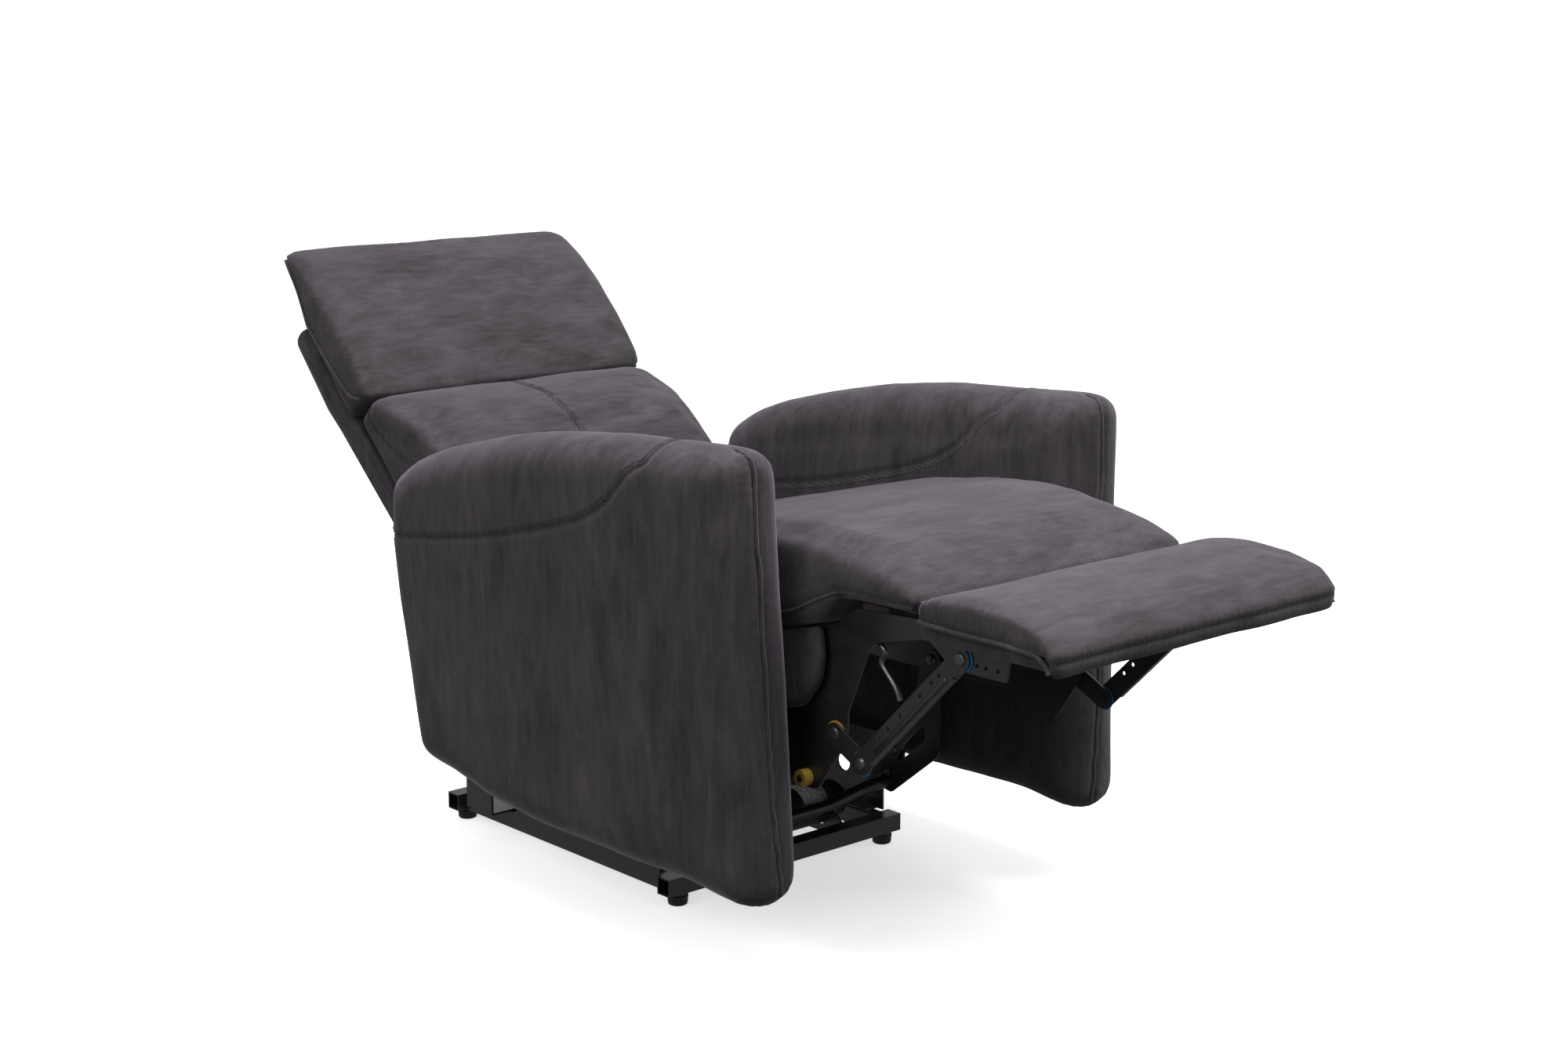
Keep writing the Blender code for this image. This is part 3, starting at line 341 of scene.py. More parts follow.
def filled(piece, outward, pressure, cap, held):
    """Fill a cover by cloth pressure, moving no point further than a cap."""
    start = points_of(piece.data)
    sewn = piece.vertex_groups.new(name="sewn")
    sewn.add([k for k, p in enumerate(start) if held and held(Vector(p))], 1.0, "REPLACE")
    cloth = piece.modifiers.new("filling", "CLOTH")
    cloth.settings.quality = 4
    cloth.settings.mass = 0.3
    cloth.settings.tension_stiffness = STIFFNESS
    cloth.settings.compression_stiffness = STIFFNESS
    cloth.settings.shear_stiffness = STIFFNESS * 0.4
    cloth.settings.bending_stiffness = 0.6
    cloth.settings.use_pressure = True
    cloth.settings.uniform_pressure_force = pressure
    cloth.settings.effector_weights.gravity = 0.0
    cloth.settings.vertex_group_mass = "sewn"
    cloth.point_cache.frame_start = 1
    cloth.point_cache.frame_end = FILL_FRAMES
    cloth.collision_settings.use_collision = False
    for step in range(1, FILL_FRAMES + 1):
        bpy.context.scene.frame_set(step)
    graph = bpy.context.evaluated_depsgraph_get()
    move = points_of(piece.evaluated_get(graph).to_mesh()) - start
    rise = (move * outward).sum(axis=1, keepdims=True)
    move = (move - outward * rise) * SLIDE + outward * np.maximum(rise, -SINK)
    side = np.abs(start[:, 0]) > SIDE_PLANE
    move[side, 0] *= np.where(move[side, 0] * start[side, 0] > 0, 0.0, 1.0)
    reach = np.linalg.norm(move, axis=1, keepdims=True)
    move *= np.minimum(1.0, cap / np.maximum(reach, 1e-9))
    piece.modifiers.clear()
    piece.vertex_groups.clear()
    piece.data.vertices.foreach_set("co", (start + move).ravel())
    bpy.context.scene.frame_set(1)
    bm = bmesh.new()
    bm.from_mesh(piece.data)
    smoothed(bm, 3)
    bm.to_mesh(piece.data)
    bm.free()


def stuffed(name, node, material, voxel, draw_in, cap, pressure=4.0, relax=6, held=None, tuck=None):
    """A sewn cushion: the CAD form remeshed, smoothed, laid back on its own skin and filled."""
    form = cad_mesh(node)
    piece = show(name, form.copy(), material, None, smooth=0)
    grid = piece.modifiers.new("grid", "REMESH")
    grid.mode = "VOXEL"
    grid.voxel_size = voxel
    settled(piece)
    bm = bmesh.new()
    bm.from_mesh(piece.data)
    smoothed(bm, relax)
    bm.normal_update()
    skin = BVHTree.FromBMesh(form)
    for v in bm.verts:
        v.co -= v.normal * draw_in
        if tuck:
            v.co += tuck(v.co)
        place, _, _, gap = skin.find_nearest(v.co)
        if gap and gap < SKIN_REACH:
            v.co += (place - v.co) * SKIN_PULL
    bm.normal_update()
    form.free()
    outward = np.array([v.normal[:] for v in bm.verts])
    bm.to_mesh(piece.data)
    bm.free()
    filled(piece, outward, pressure, cap, held)
    finer = piece.modifiers.new("finer", "SUBSURF")
    finer.levels = 1
    finer.render_levels = 1
    settled(piece)
    piece.data.polygons.foreach_set("use_smooth", [True] * len(piece.data.polygons))
    return piece


def upholstered(piece, body, node):
    """Fix a padded cover to its body, in place of its CAD solid."""
    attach(piece, body)
    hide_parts(node)


def along_line(points, pitch):
    """Points every pitch along a line of guide points, with the distance run."""
    pts = [Vector(p) for p in points]
    out = []
    run = 0.0
    for a, b in zip(pts, pts[1:]):
        length = (b - a).length
        count = max(1, round(length / pitch))
        out += [(a.lerp(b, k / count), run + length * k / count) for k in range(count)]
        run += length
    return out + [(pts[-1], run)]


def curved(points, density=8):
    """A smooth line through guide points (Catmull-Rom)."""
    pts = [Vector(p) for p in points]
    pts = [pts[0] * 2 - pts[1]] + pts + [pts[-1] * 2 - pts[-2]]
    out = []
    for a, b, c, d in zip(pts, pts[1:], pts[2:], pts[3:]):
        for k in range(density):
            t = k / density
            out.append(0.5 * (2 * b + (c - a) * t + (2 * a - 5 * b + 4 * c - d) * t * t
                              + (3 * b - a - 3 * c + d) * t ** 3))
    return out + [pts[-2]]


def reshape(piece, push):
    """Move each point of a piece along its normal by push(point)."""
    bm = bmesh.new()
    bm.from_mesh(piece.data)
    bm.normal_update()
    for v in bm.verts:
        v.co += v.normal * push(v.co)
    bm.to_mesh(piece.data)
    bm.free()


def sewn_line(piece, guide, width, depth, pucker, pitch, spread, seed):
    """Press a groove of a width and depth into a piece, with gathers of a height, pitch and spread."""
    line = along_line(guide, 0.0015)
    tree = KDTree(len(line))
    for k, (p, _) in enumerate(line):
        tree.insert(p, k)
    tree.balance()
    reach = max(width * 3.0, spread * 2.6)

    def push(place):
        _, k, gap = tree.find(place)
        if gap > reach:
            return 0.0
        run = line[k][1] / pitch
        wave = math.sin(2 * math.pi * run + 3.1 * noise.noise(Vector((run * 0.45, seed, 0.0))))
        size = 0.55 + 0.75 * noise.noise(Vector((run * 0.8, 4.0, seed)))
        rise = min(1.0, gap / (width * 1.4))
        gather = pucker * wave * size * rise * math.exp(-(gap / spread) ** 2)
        return gather - depth * math.exp(-(gap / width) ** 2)

    reshape(piece, push)


def swell(piece, amount, scale, seed, stretch=(1, 1, 1)):
    """Slow hand-stuffed unevenness along the normals."""
    def push(place):
        p = Vector([c * s for c, s in zip(place, stretch)]) * scale
        p.x += seed
        return amount * (noise.noise(p) + 0.5 * noise.noise(p * 2.3))

    reshape(piece, push)


def laid_on(piece, guide, pitch, lift=0.0, aside=0.0):
    """Guide line dropped on a piece's surface: points, normals and directions."""
    tree = BVHTree.FromObject(piece, bpy.context.evaluated_depsgraph_get())
    raw = [p for p, _ in along_line(guide, pitch)]
    out = []
    for k, p in enumerate(raw):
        ahead = (raw[min(k + 1, len(raw) - 1)] - raw[max(k - 1, 0)]).normalized()
        place, normal, _, _ = tree.find_nearest(p)
        if aside:
            place, normal, _, _ = tree.find_nearest(place + normal.cross(ahead).normalized() * aside)
        out.append((place + normal * lift, normal, ahead))
    return out


STITCH_PITCH, STITCH_LENGTH, STITCH_THICK = 0.0064, 0.0042, 0.0008


def stitched(name, piece, guide, body, *asides):
    """Rows of topstitches lying on a piece, each row some way aside of a guide line."""
    bm = bmesh.new()
    size = Matrix.Diagonal((STITCH_LENGTH / 2, STITCH_THICK, STITCH_THICK, 1.0))
    for aside in asides:
        for place, normal, ahead in laid_on(piece, guide, STITCH_PITCH, STITCH_THICK * 0.35, aside):
            side = normal.cross(ahead).normalized()
            turn = Matrix((side.cross(normal), side, normal)).transposed().to_4x4()
            bmesh.ops.create_icosphere(bm, subdivisions=1, radius=1.0,
                                       matrix=Matrix.Translation(place) @ turn @ size)
    show(name, bm, thread(), body, smooth=0)


def piping(name, path, radius, material, body):
    """Round welt cord under cloth along a line of points."""
    curve = bpy.data.curves.new(name, "CURVE")
    curve.dimensions = "3D"
    curve.bevel_depth = radius
    curve.bevel_resolution = 3
    curve.use_fill_caps = True
    spline = curve.splines.new("POLY")
    spline.points.add(len(path) - 1)
    for point, p in zip(spline.points, path):
        point.co = (*p, 1.0)
    holder = bpy.data.objects.new(name + "_line", curve)
    bpy.context.collection.objects.link(holder)
    graph = bpy.context.evaluated_depsgraph_get()
    bm = bmesh.new()
    mesh = bpy.data.meshes.new_from_object(holder.evaluated_get(graph))
    bm.from_mesh(mesh)
    bmesh.ops.remove_doubles(bm, verts=bm.verts, dist=1e-6)
    bmesh.ops.recalc_face_normals(bm, faces=bm.faces)
    bpy.data.objects.remove(holder, do_unlink=True)
    show(name, bm, material, body, smooth=60)


def smooth_path(path, rounds):
    pts = [Vector(p) for p in path]
    for _ in range(rounds):
        pts = [pts[0]] + [(a + b * 2 + c) / 4 for a, b, c in zip(pts, pts[1:], pts[2:])] + [pts[-1]]
    return pts


def traced(piece, guide, rounds, lift=0.0, pitch=0.006):
    """A guide line dropped on a piece's surface and smoothed."""
    return smooth_path([p for p, _, _ in laid_on(piece, guide, pitch, lift)], rounds)


def fade(value, start, span):
    """0 up to start, 1 past start + span, and even between; a negative span fades downwards."""
    return min(1.0, max(0.0, (value - start) / span))


def sideways(p):
    """-1 on the near side, 1 on the far side, and even over the middle."""
    return max(-1.0, min(1.0, p.x / 0.2))


def arm_mid(z):
    """An arm's middle along X, which leans out with height."""
    return 0.285 + 0.015 * fade(z, 0.20, 0.45)


def finishes():
    return bpy.context.scene.recliner_finishes


def palette(name, maker, *details):
    """One shared material per name."""
    return bpy.data.materials.get(name) or maker(name, *details)


def arm_cloth():
    return palette("arm_velvet", velvet, finishes().velvet, (1.0, 0.8, 0.30))


def flat_cloth():
    return palette("seat_velvet", velvet, finishes().velvet, (0.42, 1.0, 1.0))


def thread():
    return palette("thread", moulded, [c * 0.40 for c in finishes().velvet], 0.7, 900.0)


def black_steel():
    return palette("coated_steel", coated_steel, finishes().steel)


def black_moulding():
    return palette("black_moulding", moulded, (0.012, 0.012, 0.013))


def rivet_metal():
    return palette("rivet_metal", bright_rivet)


# ---- sizes and colours -------------------------------------------------------------------------

class ReclinerSizes(bpy.types.PropertyGroup):
    """Sizes of the sewn work."""

    welt: FloatProperty(
        name="Welt radius", description="Radius of the piped welts", default=0.0032, unit="LENGTH")
    arm_fill: FloatProperty(
        name="Arm fill", description="Most that an arm's cover may stand out", default=0.003, unit="LENGTH")
    seat_fill: FloatProperty(
        name="Seat fill", description="Most that the seat's cover may stand out", default=0.012,
        unit="LENGTH")
    back_fill: FloatProperty(
        name="Back fill", description="Most that the back's covers may stand out", default=0.012,
        unit="LENGTH")
    rivet: FloatProperty(
        name="Rivet head radius", description="Radius of the pivot rivets' heads", default=0.0078,
        unit="LENGTH")
    lens: FloatProperty(
        name="Lens", description="Focal length in millimetres on a 36 mm sensor", default=58.59)


class ReclinerFinishes(bpy.types.PropertyGroup):
    """Colours of the chair."""

    velvet: FloatVectorProperty(
        name="Velvet", description="Velvet colour", subtype="COLOR", default=(0.034, 0.030, 0.034))
    steel: FloatVectorProperty(
        name="Steel", description="Coated steel colour", subtype="COLOR", default=(0.010, 0.010, 0.0105))
    blue: FloatVectorProperty(
        name="Blue nylon", description="Blue washer colour", subtype="COLOR", default=(0.02, 0.16, 0.34))
    yellow: FloatVectorProperty(
        name="Yellow nylon", description="Yellow washer colour", subtype="COLOR", default=(0.30, 0.19, 0.03))
    ply: FloatVectorProperty(
        name="Plywood", description="Stained plywood colour", subtype="COLOR", default=(0.035, 0.028, 0.024))


# ---- upholstery ----------------------------------------------------------------------------------

ARM_PROFILE = [(-0.426, 0.112), (-0.4210, 0.250), (-0.4135, 0.420), (-0.4080, 0.550), (-0.4050, 0.625),
               (-0.3990, 0.6465), (-0.3860, 0.6520), (-0.3720, 0.6530)]
YOKE = [(-0.258, 0.640), (-0.243, 0.625), (-0.224, 0.601), (-0.193, 0.568), (-0.165, 0.550), (-0.138, 0.538),
        (-0.090, 0.522), (-0.041, 0.509), (0.061, 0.484), (0.167, 0.465), (0.251, 0.453), (0.318, 0.449)]
YOKE_ASIDE = 0.075     # the yoke's side seams from an arm's middle, dropped on the cloth from there
WELT_STRIP = 0.012     # half width of the strip along an arm's middle that the filling doesn't lift


class RECLINER_OT_arms(bpy.types.Operator):
    """Upholster both arms with a front welt and a stitched yoke"""

    bl_idname = "recliner.arms"
    bl_label = "Arms"

    def execute(self, context):
        sizes = context.scene.recliner_sizes

        def held(p):
            return abs(abs(p.x) - arm_mid(p.z)) < WELT_STRIP

        def welt_middle(z):
            return arm_mid(z) - max(0.0, 0.16 - z) * 0.25

        for sign in (NEAR, FAR):
            node = side_name("arm", sign)
            arm = stuffed(side_name("arm_cover", sign), node, arm_cloth(), 0.008, 0.0015, sizes.arm_fill,
                          pressure=3.0, relax=5, held=held)
            swell(arm, 0.0016, 9.0, 3.0 * sign, (1, 1, 0.45))
            welt = curved([spot(sign * welt_middle(z), y, z) for y, z in ARM_PROFILE])
            sewn_line(arm, welt, 0.0055, 0.0044, 0.0006, 0.017, 0.016, sign)
            corner = [p for p in welt if p.z > 0.60]
            sewn_line(arm, corner, 0.006, 0.0008, 0.0010, 0.012, 0.018, sign + 5.0)
            foot = curved([spot(sign * (arm_mid(0.1) + s), -0.412 + abs(s) * 0.3, 0.107)
                           for s in (-0.05, 0.0, 0.05)])
            sewn_line(arm, foot, 0.006, 0.0, 0.0008, 0.012, 0.025, sign + 9.0)
            path = traced(arm, welt, 2, sizes.welt * 0.1)
            piping(side_name("arm_welt", sign), path, sizes.welt, arm_cloth(), "base")
            outer = [spot(sign * (arm_mid(z) + YOKE_ASIDE), y, z) for y, z in YOKE]
            inner = [spot(sign * (arm_mid(z) - YOKE_ASIDE), y, z) for y, z in YOKE]
            crest = [spot(sign * (arm_mid(0.64) + s), -0.262, 0.665)
                     for s in (0.050, 0.025, 0.0, -0.025, -0.050)]
            yoke = traced(arm, curved(outer[::-1] + crest + inner, 4), 3)
            sewn_line(arm, yoke, 0.0030, 0.0030, 0.0003, 0.020, 0.012, sign + 3.0)
            stitched(side_name("yoke_stitches", sign), arm, yoke, "base", 0.0035, 0.0085)
            upholstered(arm, "base", node)
        return {"FINISHED"}


class RECLINER_OT_seat(bpy.types.Operator):
    """Upholster the seat cushion and its side cheeks"""

    bl_idname = "recliner.seat"
    bl_label = "Seat"

    def execute(self, context):
        sizes = context.scene.recliner_sizes
        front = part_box("seat_cushion")[0].y

        def lift(p):
            return Vector((0, 0, 0.006)) * fade(p.z, 0.475, 0.04) * max(0.15, fade(p.y, front, 0.07))

        def held(p):
            return (p.z < 0.500 and p.y < front + 0.20) or p.y < front + 0.006

        seat = stuffed("seat_cover", "seat_cushion", flat_cloth(), 0.007, 0.0022, sizes.seat_fill,
                       held=held, tuck=lift)
        swell(seat, 0.0022, 7.0, 1.0)
        edge = [spot(x, -0.6035, 0.5035) for x in np.linspace(-0.235, 0.235, 24)]
        sewn_line(seat, edge, 0.009, 0.0012, 0.0009, 0.012, 0.014, 2.0)
        for sign in (NEAR, FAR):
            pleats = [spot(sign * 0.236, -0.600 + 0.004 * k, 0.486 + 0.001 * k) for k in range(10)]
            sewn_line(seat, pleats, 0.006, 0.0020, 0.0016, 0.009, 0.018, sign + 8.0)
        bottom = [(-0.600, 0.4795), (-0.560, 0.4790), (-0.520, 0.4795), (-0.473, 0.4830), (-0.430, 0.4700),
                  (-0.384, 0.4480), (-0.300, 0.4280), (-0.200, 0.4060)]
        for sign in (NEAR, FAR):
            guide = curved([spot(sign * 0.240, y, z) for y, z in bottom])
            path = traced(seat, guide, 3, -0.0020)
            sewn_line(seat, path, 0.006, 0.0020, 0.0005, 0.011, 0.014, sign)
            piping(side_name("seat_welt", sign), path, sizes.welt * 0.75, flat_cloth(), "seat")
            node = side_name("seat_cheek", sign)
            cheek = stuffed(side_name("cheek_cover", sign), node, arm_cloth(), 0.004, 0.0008, 0.002,
                            pressure=3.0, relax=3)
            upholstered(cheek, "seat", node)
        upholstered(seat, "seat", "seat_cushion")
        return {"FINISHED"}


class RECLINER_OT_legrest(bpy.types.Operator):
    """Upholster the legrest cushion and its covered board"""

    bl_idname = "recliner.legrest"
    bl_label = "Legrest"

    def execute(self, context):
        sizes = context.scene.recliner_sizes
        low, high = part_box("legrest_cushion")

        def lift(p):
            return (Vector((0, -0.003, 0.003)) * fade(p.z - low.z, 0.02, 0.02)
                    + Vector((0.003 * sideways(p), 0, 0)))

        def held(p):
            return p.z < low.z + 0.030 or p.y < low.y + 0.012 or p.y > high.y - 0.006

        rest = stuffed("legrest_cover", "legrest_cushion", flat_cloth(), 0.005, 0.0012, sizes.seat_fill * 0.8,
                       held=held, tuck=lift)
        swell(rest, 0.0016, 8.0, 5.0)
        rear = [spot(x, -0.6065, 0.5035) for x in np.linspace(-0.242, 0.242, 24)]
        sewn_line(rest, rear, 0.009, 0.0012, 0.0009, 0.011, 0.014, 4.0)
        nose = traced(rest, [spot(x, -0.824, 0.4720) for x in np.linspace(-0.240, 0.240, 24)], 2)
        sewn_line(rest, nose, 0.0035, 0.0026, 0.0004, 0.012, 0.012, 6.0)
        stitched("legrest_stitches", rest, nose, "legrest", 0.004)
        bottom = [(-0.609, 0.478), (-0.651, 0.4765), (-0.711, 0.4745), (-0.757, 0.4720), (-0.791, 0.4650),
                  (-0.812, 0.4590)]
        for sign in (NEAR, FAR):
            guide = curved([spot(sign * 0.250, y, z) for y, z in bottom])
            path = traced(rest, guide, 3, sizes.welt * 0.2)
            sewn_line(rest, path, 0.006, 0.0018, 0.0011, 0.009, 0.015, sign)
            piping(side_name("legrest_welt", sign), path, sizes.welt * 0.9, flat_cloth(), "legrest")
            pleats = [spot(sign * 0.244, -0.612 - 0.005 * k, 0.490) for k in range(9)]
            sewn_line(rest, pleats, 0.006, 0.0006, 0.0014, 0.009, 0.018, sign + 2.0)
        upholstered(rest, "legrest", "legrest_cushion")

        board = cad_mesh("legrest_board")
        sharp = [e for e in board.edges if e.calc_face_angle(0) > 0.5]
        bmesh.ops.bevel(board, geom=sharp, offset=0.0022, segments=3, profile=0.5, affect="EDGES", material=-1)
        cover = show("legrest_board_cover", board, arm_cloth(), "legrest")
        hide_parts("legrest_board")
        return {"FINISHED"}


class RECLINER_OT_back(bpy.types.Operator):
    """Upholster the lumbar cushion, the headrest and the outer shell"""

    bl_idname = "recliner.back"
    bl_label = "Back"

    def execute(self, context):
        sizes = context.scene.recliner_sizes
        up_back = Vector((0.0, math.cos(TILT), math.sin(TILT)))
        out_back = Vector((0.0, -math.sin(TILT), math.cos(TILT)))

        def along_back(p):
            """A point's distance up the back and out of its front."""
            rel = Vector((p.y, p.z)) - BACK_HINGE
            return (rel.x * math.cos(TILT) + rel.y * math.sin(TILT),
                    -rel.x * math.sin(TILT) + rel.y * math.cos(TILT))

        def held_lumbar(p):
            u, v = along_back(p)
            return v < 0.020 or u > 0.366

        def held_head(p):
            u, v = along_back(p)
            return v < 0.004 or u < 0.380 or u > 0.652

        def tuck_up(p):
            u, v = along_back(p)
            crown = 0.004 + 0.009 * fade(u, 0.33, -0.15)
            wide = 0.003 * fade(u, 0.30, 0.05) * sideways(p)
            return (up_back * 0.007 * fade(u, 0.335, 0.03) + out_back * crown * fade(v, 0.02, 0.04)
                    + Vector((wide, 0, 0)))

        def tuck_down(p):
            u, v = along_back(p)
            ends = 0.006 * fade(u, 0.62, 0.03) - 0.005 * fade(u, 0.410, -0.03)
            return (up_back * ends + out_back * 0.003 * fade(v, 0.01, 0.02)
                    + Vector((0.006 * sideways(p), 0, 0)))

        lumbar = stuffed("lumbar_cover", "lumbar_cushion", flat_cloth(), 0.006, 0.001, sizes.back_fill,
                         relax=12, held=held_lumbar, tuck=tuck_up)
        swell(lumbar, 0.0022, 7.0, 11.0)
        seam = [(0.368, 0.052), (0.3266, 0.080), (0.2923, 0.0995), (0.2534, 0.1135), (0.2213, 0.121),
                (0.1854, 0.127), (0.150, 0.131), (0.115, 0.105)]
        path = traced(lumbar, curved([back_spot(0.0, u, v) for u, v in seam]), 2, pitch=0.005)
        sewn_line(lumbar, path, 0.0045, 0.0042, 0.0008, 0.022, 0.018, 1.0)
        stitched("lumbar_stitches", lumbar, path, "back", -0.0055, 0.0055)
        crease = [back_spot(x, 0.3700, 0.040) for x in np.linspace(-0.245, 0.245, 26)]
        sewn_line(lumbar, crease, 0.010, 0.0, 0.0008, 0.017, 0.022, 5.0)
        edge = [(0.370, 0.0224), (0.3596, 0.0116), (0.3347, 0.0094), (0.3012, 0.0182), (0.2624, 0.0358),
                (0.2393, 0.054), (0.200, 0.075)]
        for sign in (NEAR, FAR):
            path = traced(lumbar, curved([back_spot(sign * 0.256, u, v) for u, v in edge]), 3)
            sewn_line(lumbar, path, 0.004, 0.0022, 0.0007, 0.012, 0.016, sign + 3.0)
            stitched(side_name("lumbar_edge_stitches", sign), lumbar, path, "back", 0.003 * sign)
        upholstered(lumbar, "back", "lumbar_cushion")

        head = stuffed("headrest_cover", "headrest_cushion", flat_cloth(), 0.006, 0.001,
                       sizes.back_fill * 0.8, held=held_head, tuck=tuck_down)
        swell(head, 0.0020, 7.0, 17.0)
        lower = [back_spot(x, 0.3760, 0.040) for x in np.linspace(-0.245, 0.245, 26)]
        sewn_line(head, lower, 0.009, 0.0, 0.0008, 0.017, 0.020, 7.0)
        top = [back_spot(x, 0.658, 0.009) for x in np.linspace(-0.245, 0.245, 26)]
        sewn_line(head, top, 0.006, 0.0010, 0.0003, 0.024, 0.018, 9.0)
        rear = [(0.6440, -0.0005), (0.6300, -0.0015), (0.5972, -0.0072), (0.5503, -0.0136), (0.5100, -0.0110),
                (0.4649, -0.0053), (0.4150, 0.0023), (0.3927, 0.0092), (0.3800, 0.0200)]
        for sign in (NEAR, FAR):
            guide = curved([back_spot(sign * 0.252, u, v) for u, v in rear])
            path = traced(head, guide, 3, sizes.welt * 0.2)
            sewn_line(head, path, 0.005, 0.0018, 0.0006, 0.012, 0.016, sign + 4.0)
            piping(side_name("headrest_welt", sign), path, sizes.welt * 0.85, flat_cloth(), "back")
        upholstered(head, "back", "headrest_cushion")

        cover = show("back_shell_cover", cad_mesh("back_shell"), arm_cloth(), "back", smooth=32)
        soft = cover.modifiers.new("soft edge", "BEVEL")
        soft.width = 0.004
        soft.segments = 3
        soft.limit_method = "ANGLE"
        soft.angle_limit = math.radians(50)
        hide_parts("back_shell")
        return {"FINISHED"}


# ---- steelwork --------------------------------------------------------------------------------------

def rivet(bm, place, sign, radius, height, hexagon=False):
    """Domed rivet head, or a hexagon bolt head, standing outward along X."""
    base = Matrix.Translation(place) @ Matrix.Rotation(sign * math.pi / 2, 4, "Y")
    made = bmesh.ops.create_cone(bm, cap_ends=True, segments=6 if hexagon else 20, radius1=radius,
                                 radius2=radius * (0.98 if hexagon else 0.90), depth=height,
                                 matrix=base @ Matrix.Translation((0, 0, height / 2)))
    crown = {v for v in made["verts"] if sign * (v.co.x - place.x) > height * 0.9}
    rim = {e for v in crown for e in v.link_edges if crown.issuperset(e.verts)}
    bmesh.ops.bevel(bm, geom=list(rim), offset=height * 0.34, segments=3, profile=0.5, affect="EDGES",
                    material=-1)


def turned(points, centre, axis, steps, merge):
    """A solid spun round an axis from an outline whose ends lie on it."""
    bm = bmesh.new()
    verts = [bm.verts.new(p) for p in points]
    edges = [bm.edges.new(pair) for pair in zip(verts, verts[1:])]
    bmesh.ops.spin(bm, geom=verts + edges, cent=centre, axis=axis, dvec=(0, 0, 0), angle=2 * math.pi,
                   steps=steps, use_merge=True, use_duplicate=False)
    bmesh.ops.remove_doubles(bm, verts=bm.verts, dist=merge)
    bmesh.ops.recalc_face_normals(bm, faces=bm.faces)
    return bm


PIVOTS = {       # along Y and Z in the chair's side drawing
    "seat_glide": (-0.125, 0.135), "rear_swing_turn": (0.165, 0.135), "link": (-0.652, 0.441),
    "knee": (-0.492, 0.283), "knee_rear": (-0.442, 0.308), "back": (0.270, 0.300),
    "front_seat": (-0.1976, 0.2776), "rear_seat": (0.0924, 0.2776),
}
SWING_FACE = 0.1943       # inner face of the front swing links, from the chair's middle
RIB_FACE = 0.2148         # plane of the ottoman links' pressed ribs
RIVETS = {       # body: the face its heads stand on, 1 outwards or -1 inwards, their height, their pivots
    "base": (0.2022, 1, 0.0026, ("seat_glide", "rear_swing_turn")),
    "seat": (0.2067, 1, 0.0026, ("front_seat", "rear_seat", "back")),
    "ottoman_links": (0.2151, 1, 0.0026, ("link", "knee")),
    "front_swing": (SWING_FACE, -1, 0.0026, ("seat_glide", "front_seat")),
    "knee_links": (0.2110, 1, 0.0011, ("knee_rear",)),
}


class RECLINER_OT_flaps(bpy.types.Operator):
    """Fabric flaps that cross the legrest fold and the gap under the back"""

    bl_idname = "recliner.flaps"
    bl_label = "Flaps"

    def execute(self, context):
        def flap(name, profile, half, start, end, columns=16):
            line = curved([spot(0.0, y, z) for y, z in profile], 6)
            bm = bmesh.new()
            verts = [bm.verts.new((-half, p.y, p.z)) for p in line]
            edges = [bm.edges.new(pair) for pair in zip(verts, verts[1:])]
            for _ in range(columns):
                made = bmesh.ops.extrude_edge_only(bm, edges=edges)["geom"]
                moved = {g for g in made if isinstance(g, bmesh.types.BMVert)}
                edges = [g for g in made if isinstance(g, bmesh.types.BMEdge) and moved.issuperset(g.verts)]
                bmesh.ops.translate(bm, vec=(half * 2 / columns, 0, 0), verts=list(moved))
            bmesh.ops.recalc_face_normals(bm, faces=bm.faces)
            bmesh.ops.solidify(bm, geom=bm.faces[:], thickness=0.0016)
            bmesh.ops.recalc_face_normals(bm, faces=bm.faces)
            piece = show(name, bm, flat_cloth(), None, smooth=60)
            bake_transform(piece)
            run = sum((q - p).length for p, q in zip(line, line[1:]))

        crease = [(-0.598, 0.4990), (-0.6045, 0.4960), (-0.6055, 0.4830), (-0.6062, 0.4830),
                  (-0.6072, 0.4960), (-0.614, 0.4990)]
        flap("crease_flap", crease, 0.226,
             spot(0, -0.6046, 0.49), spot(0, -0.6071, 0.49))
        rear = [(0.130, 0.4260), (0.165, 0.4180), (0.200, 0.4060), (0.235, 0.4030), (0.270, 0.4120),
                (0.300, 0.4280)]
        flap("rear_flap", rear, 0.222, spot(0, 0.150, 0.42), spot(0, 0.290, 0.42))
        return {"FINISHED"}


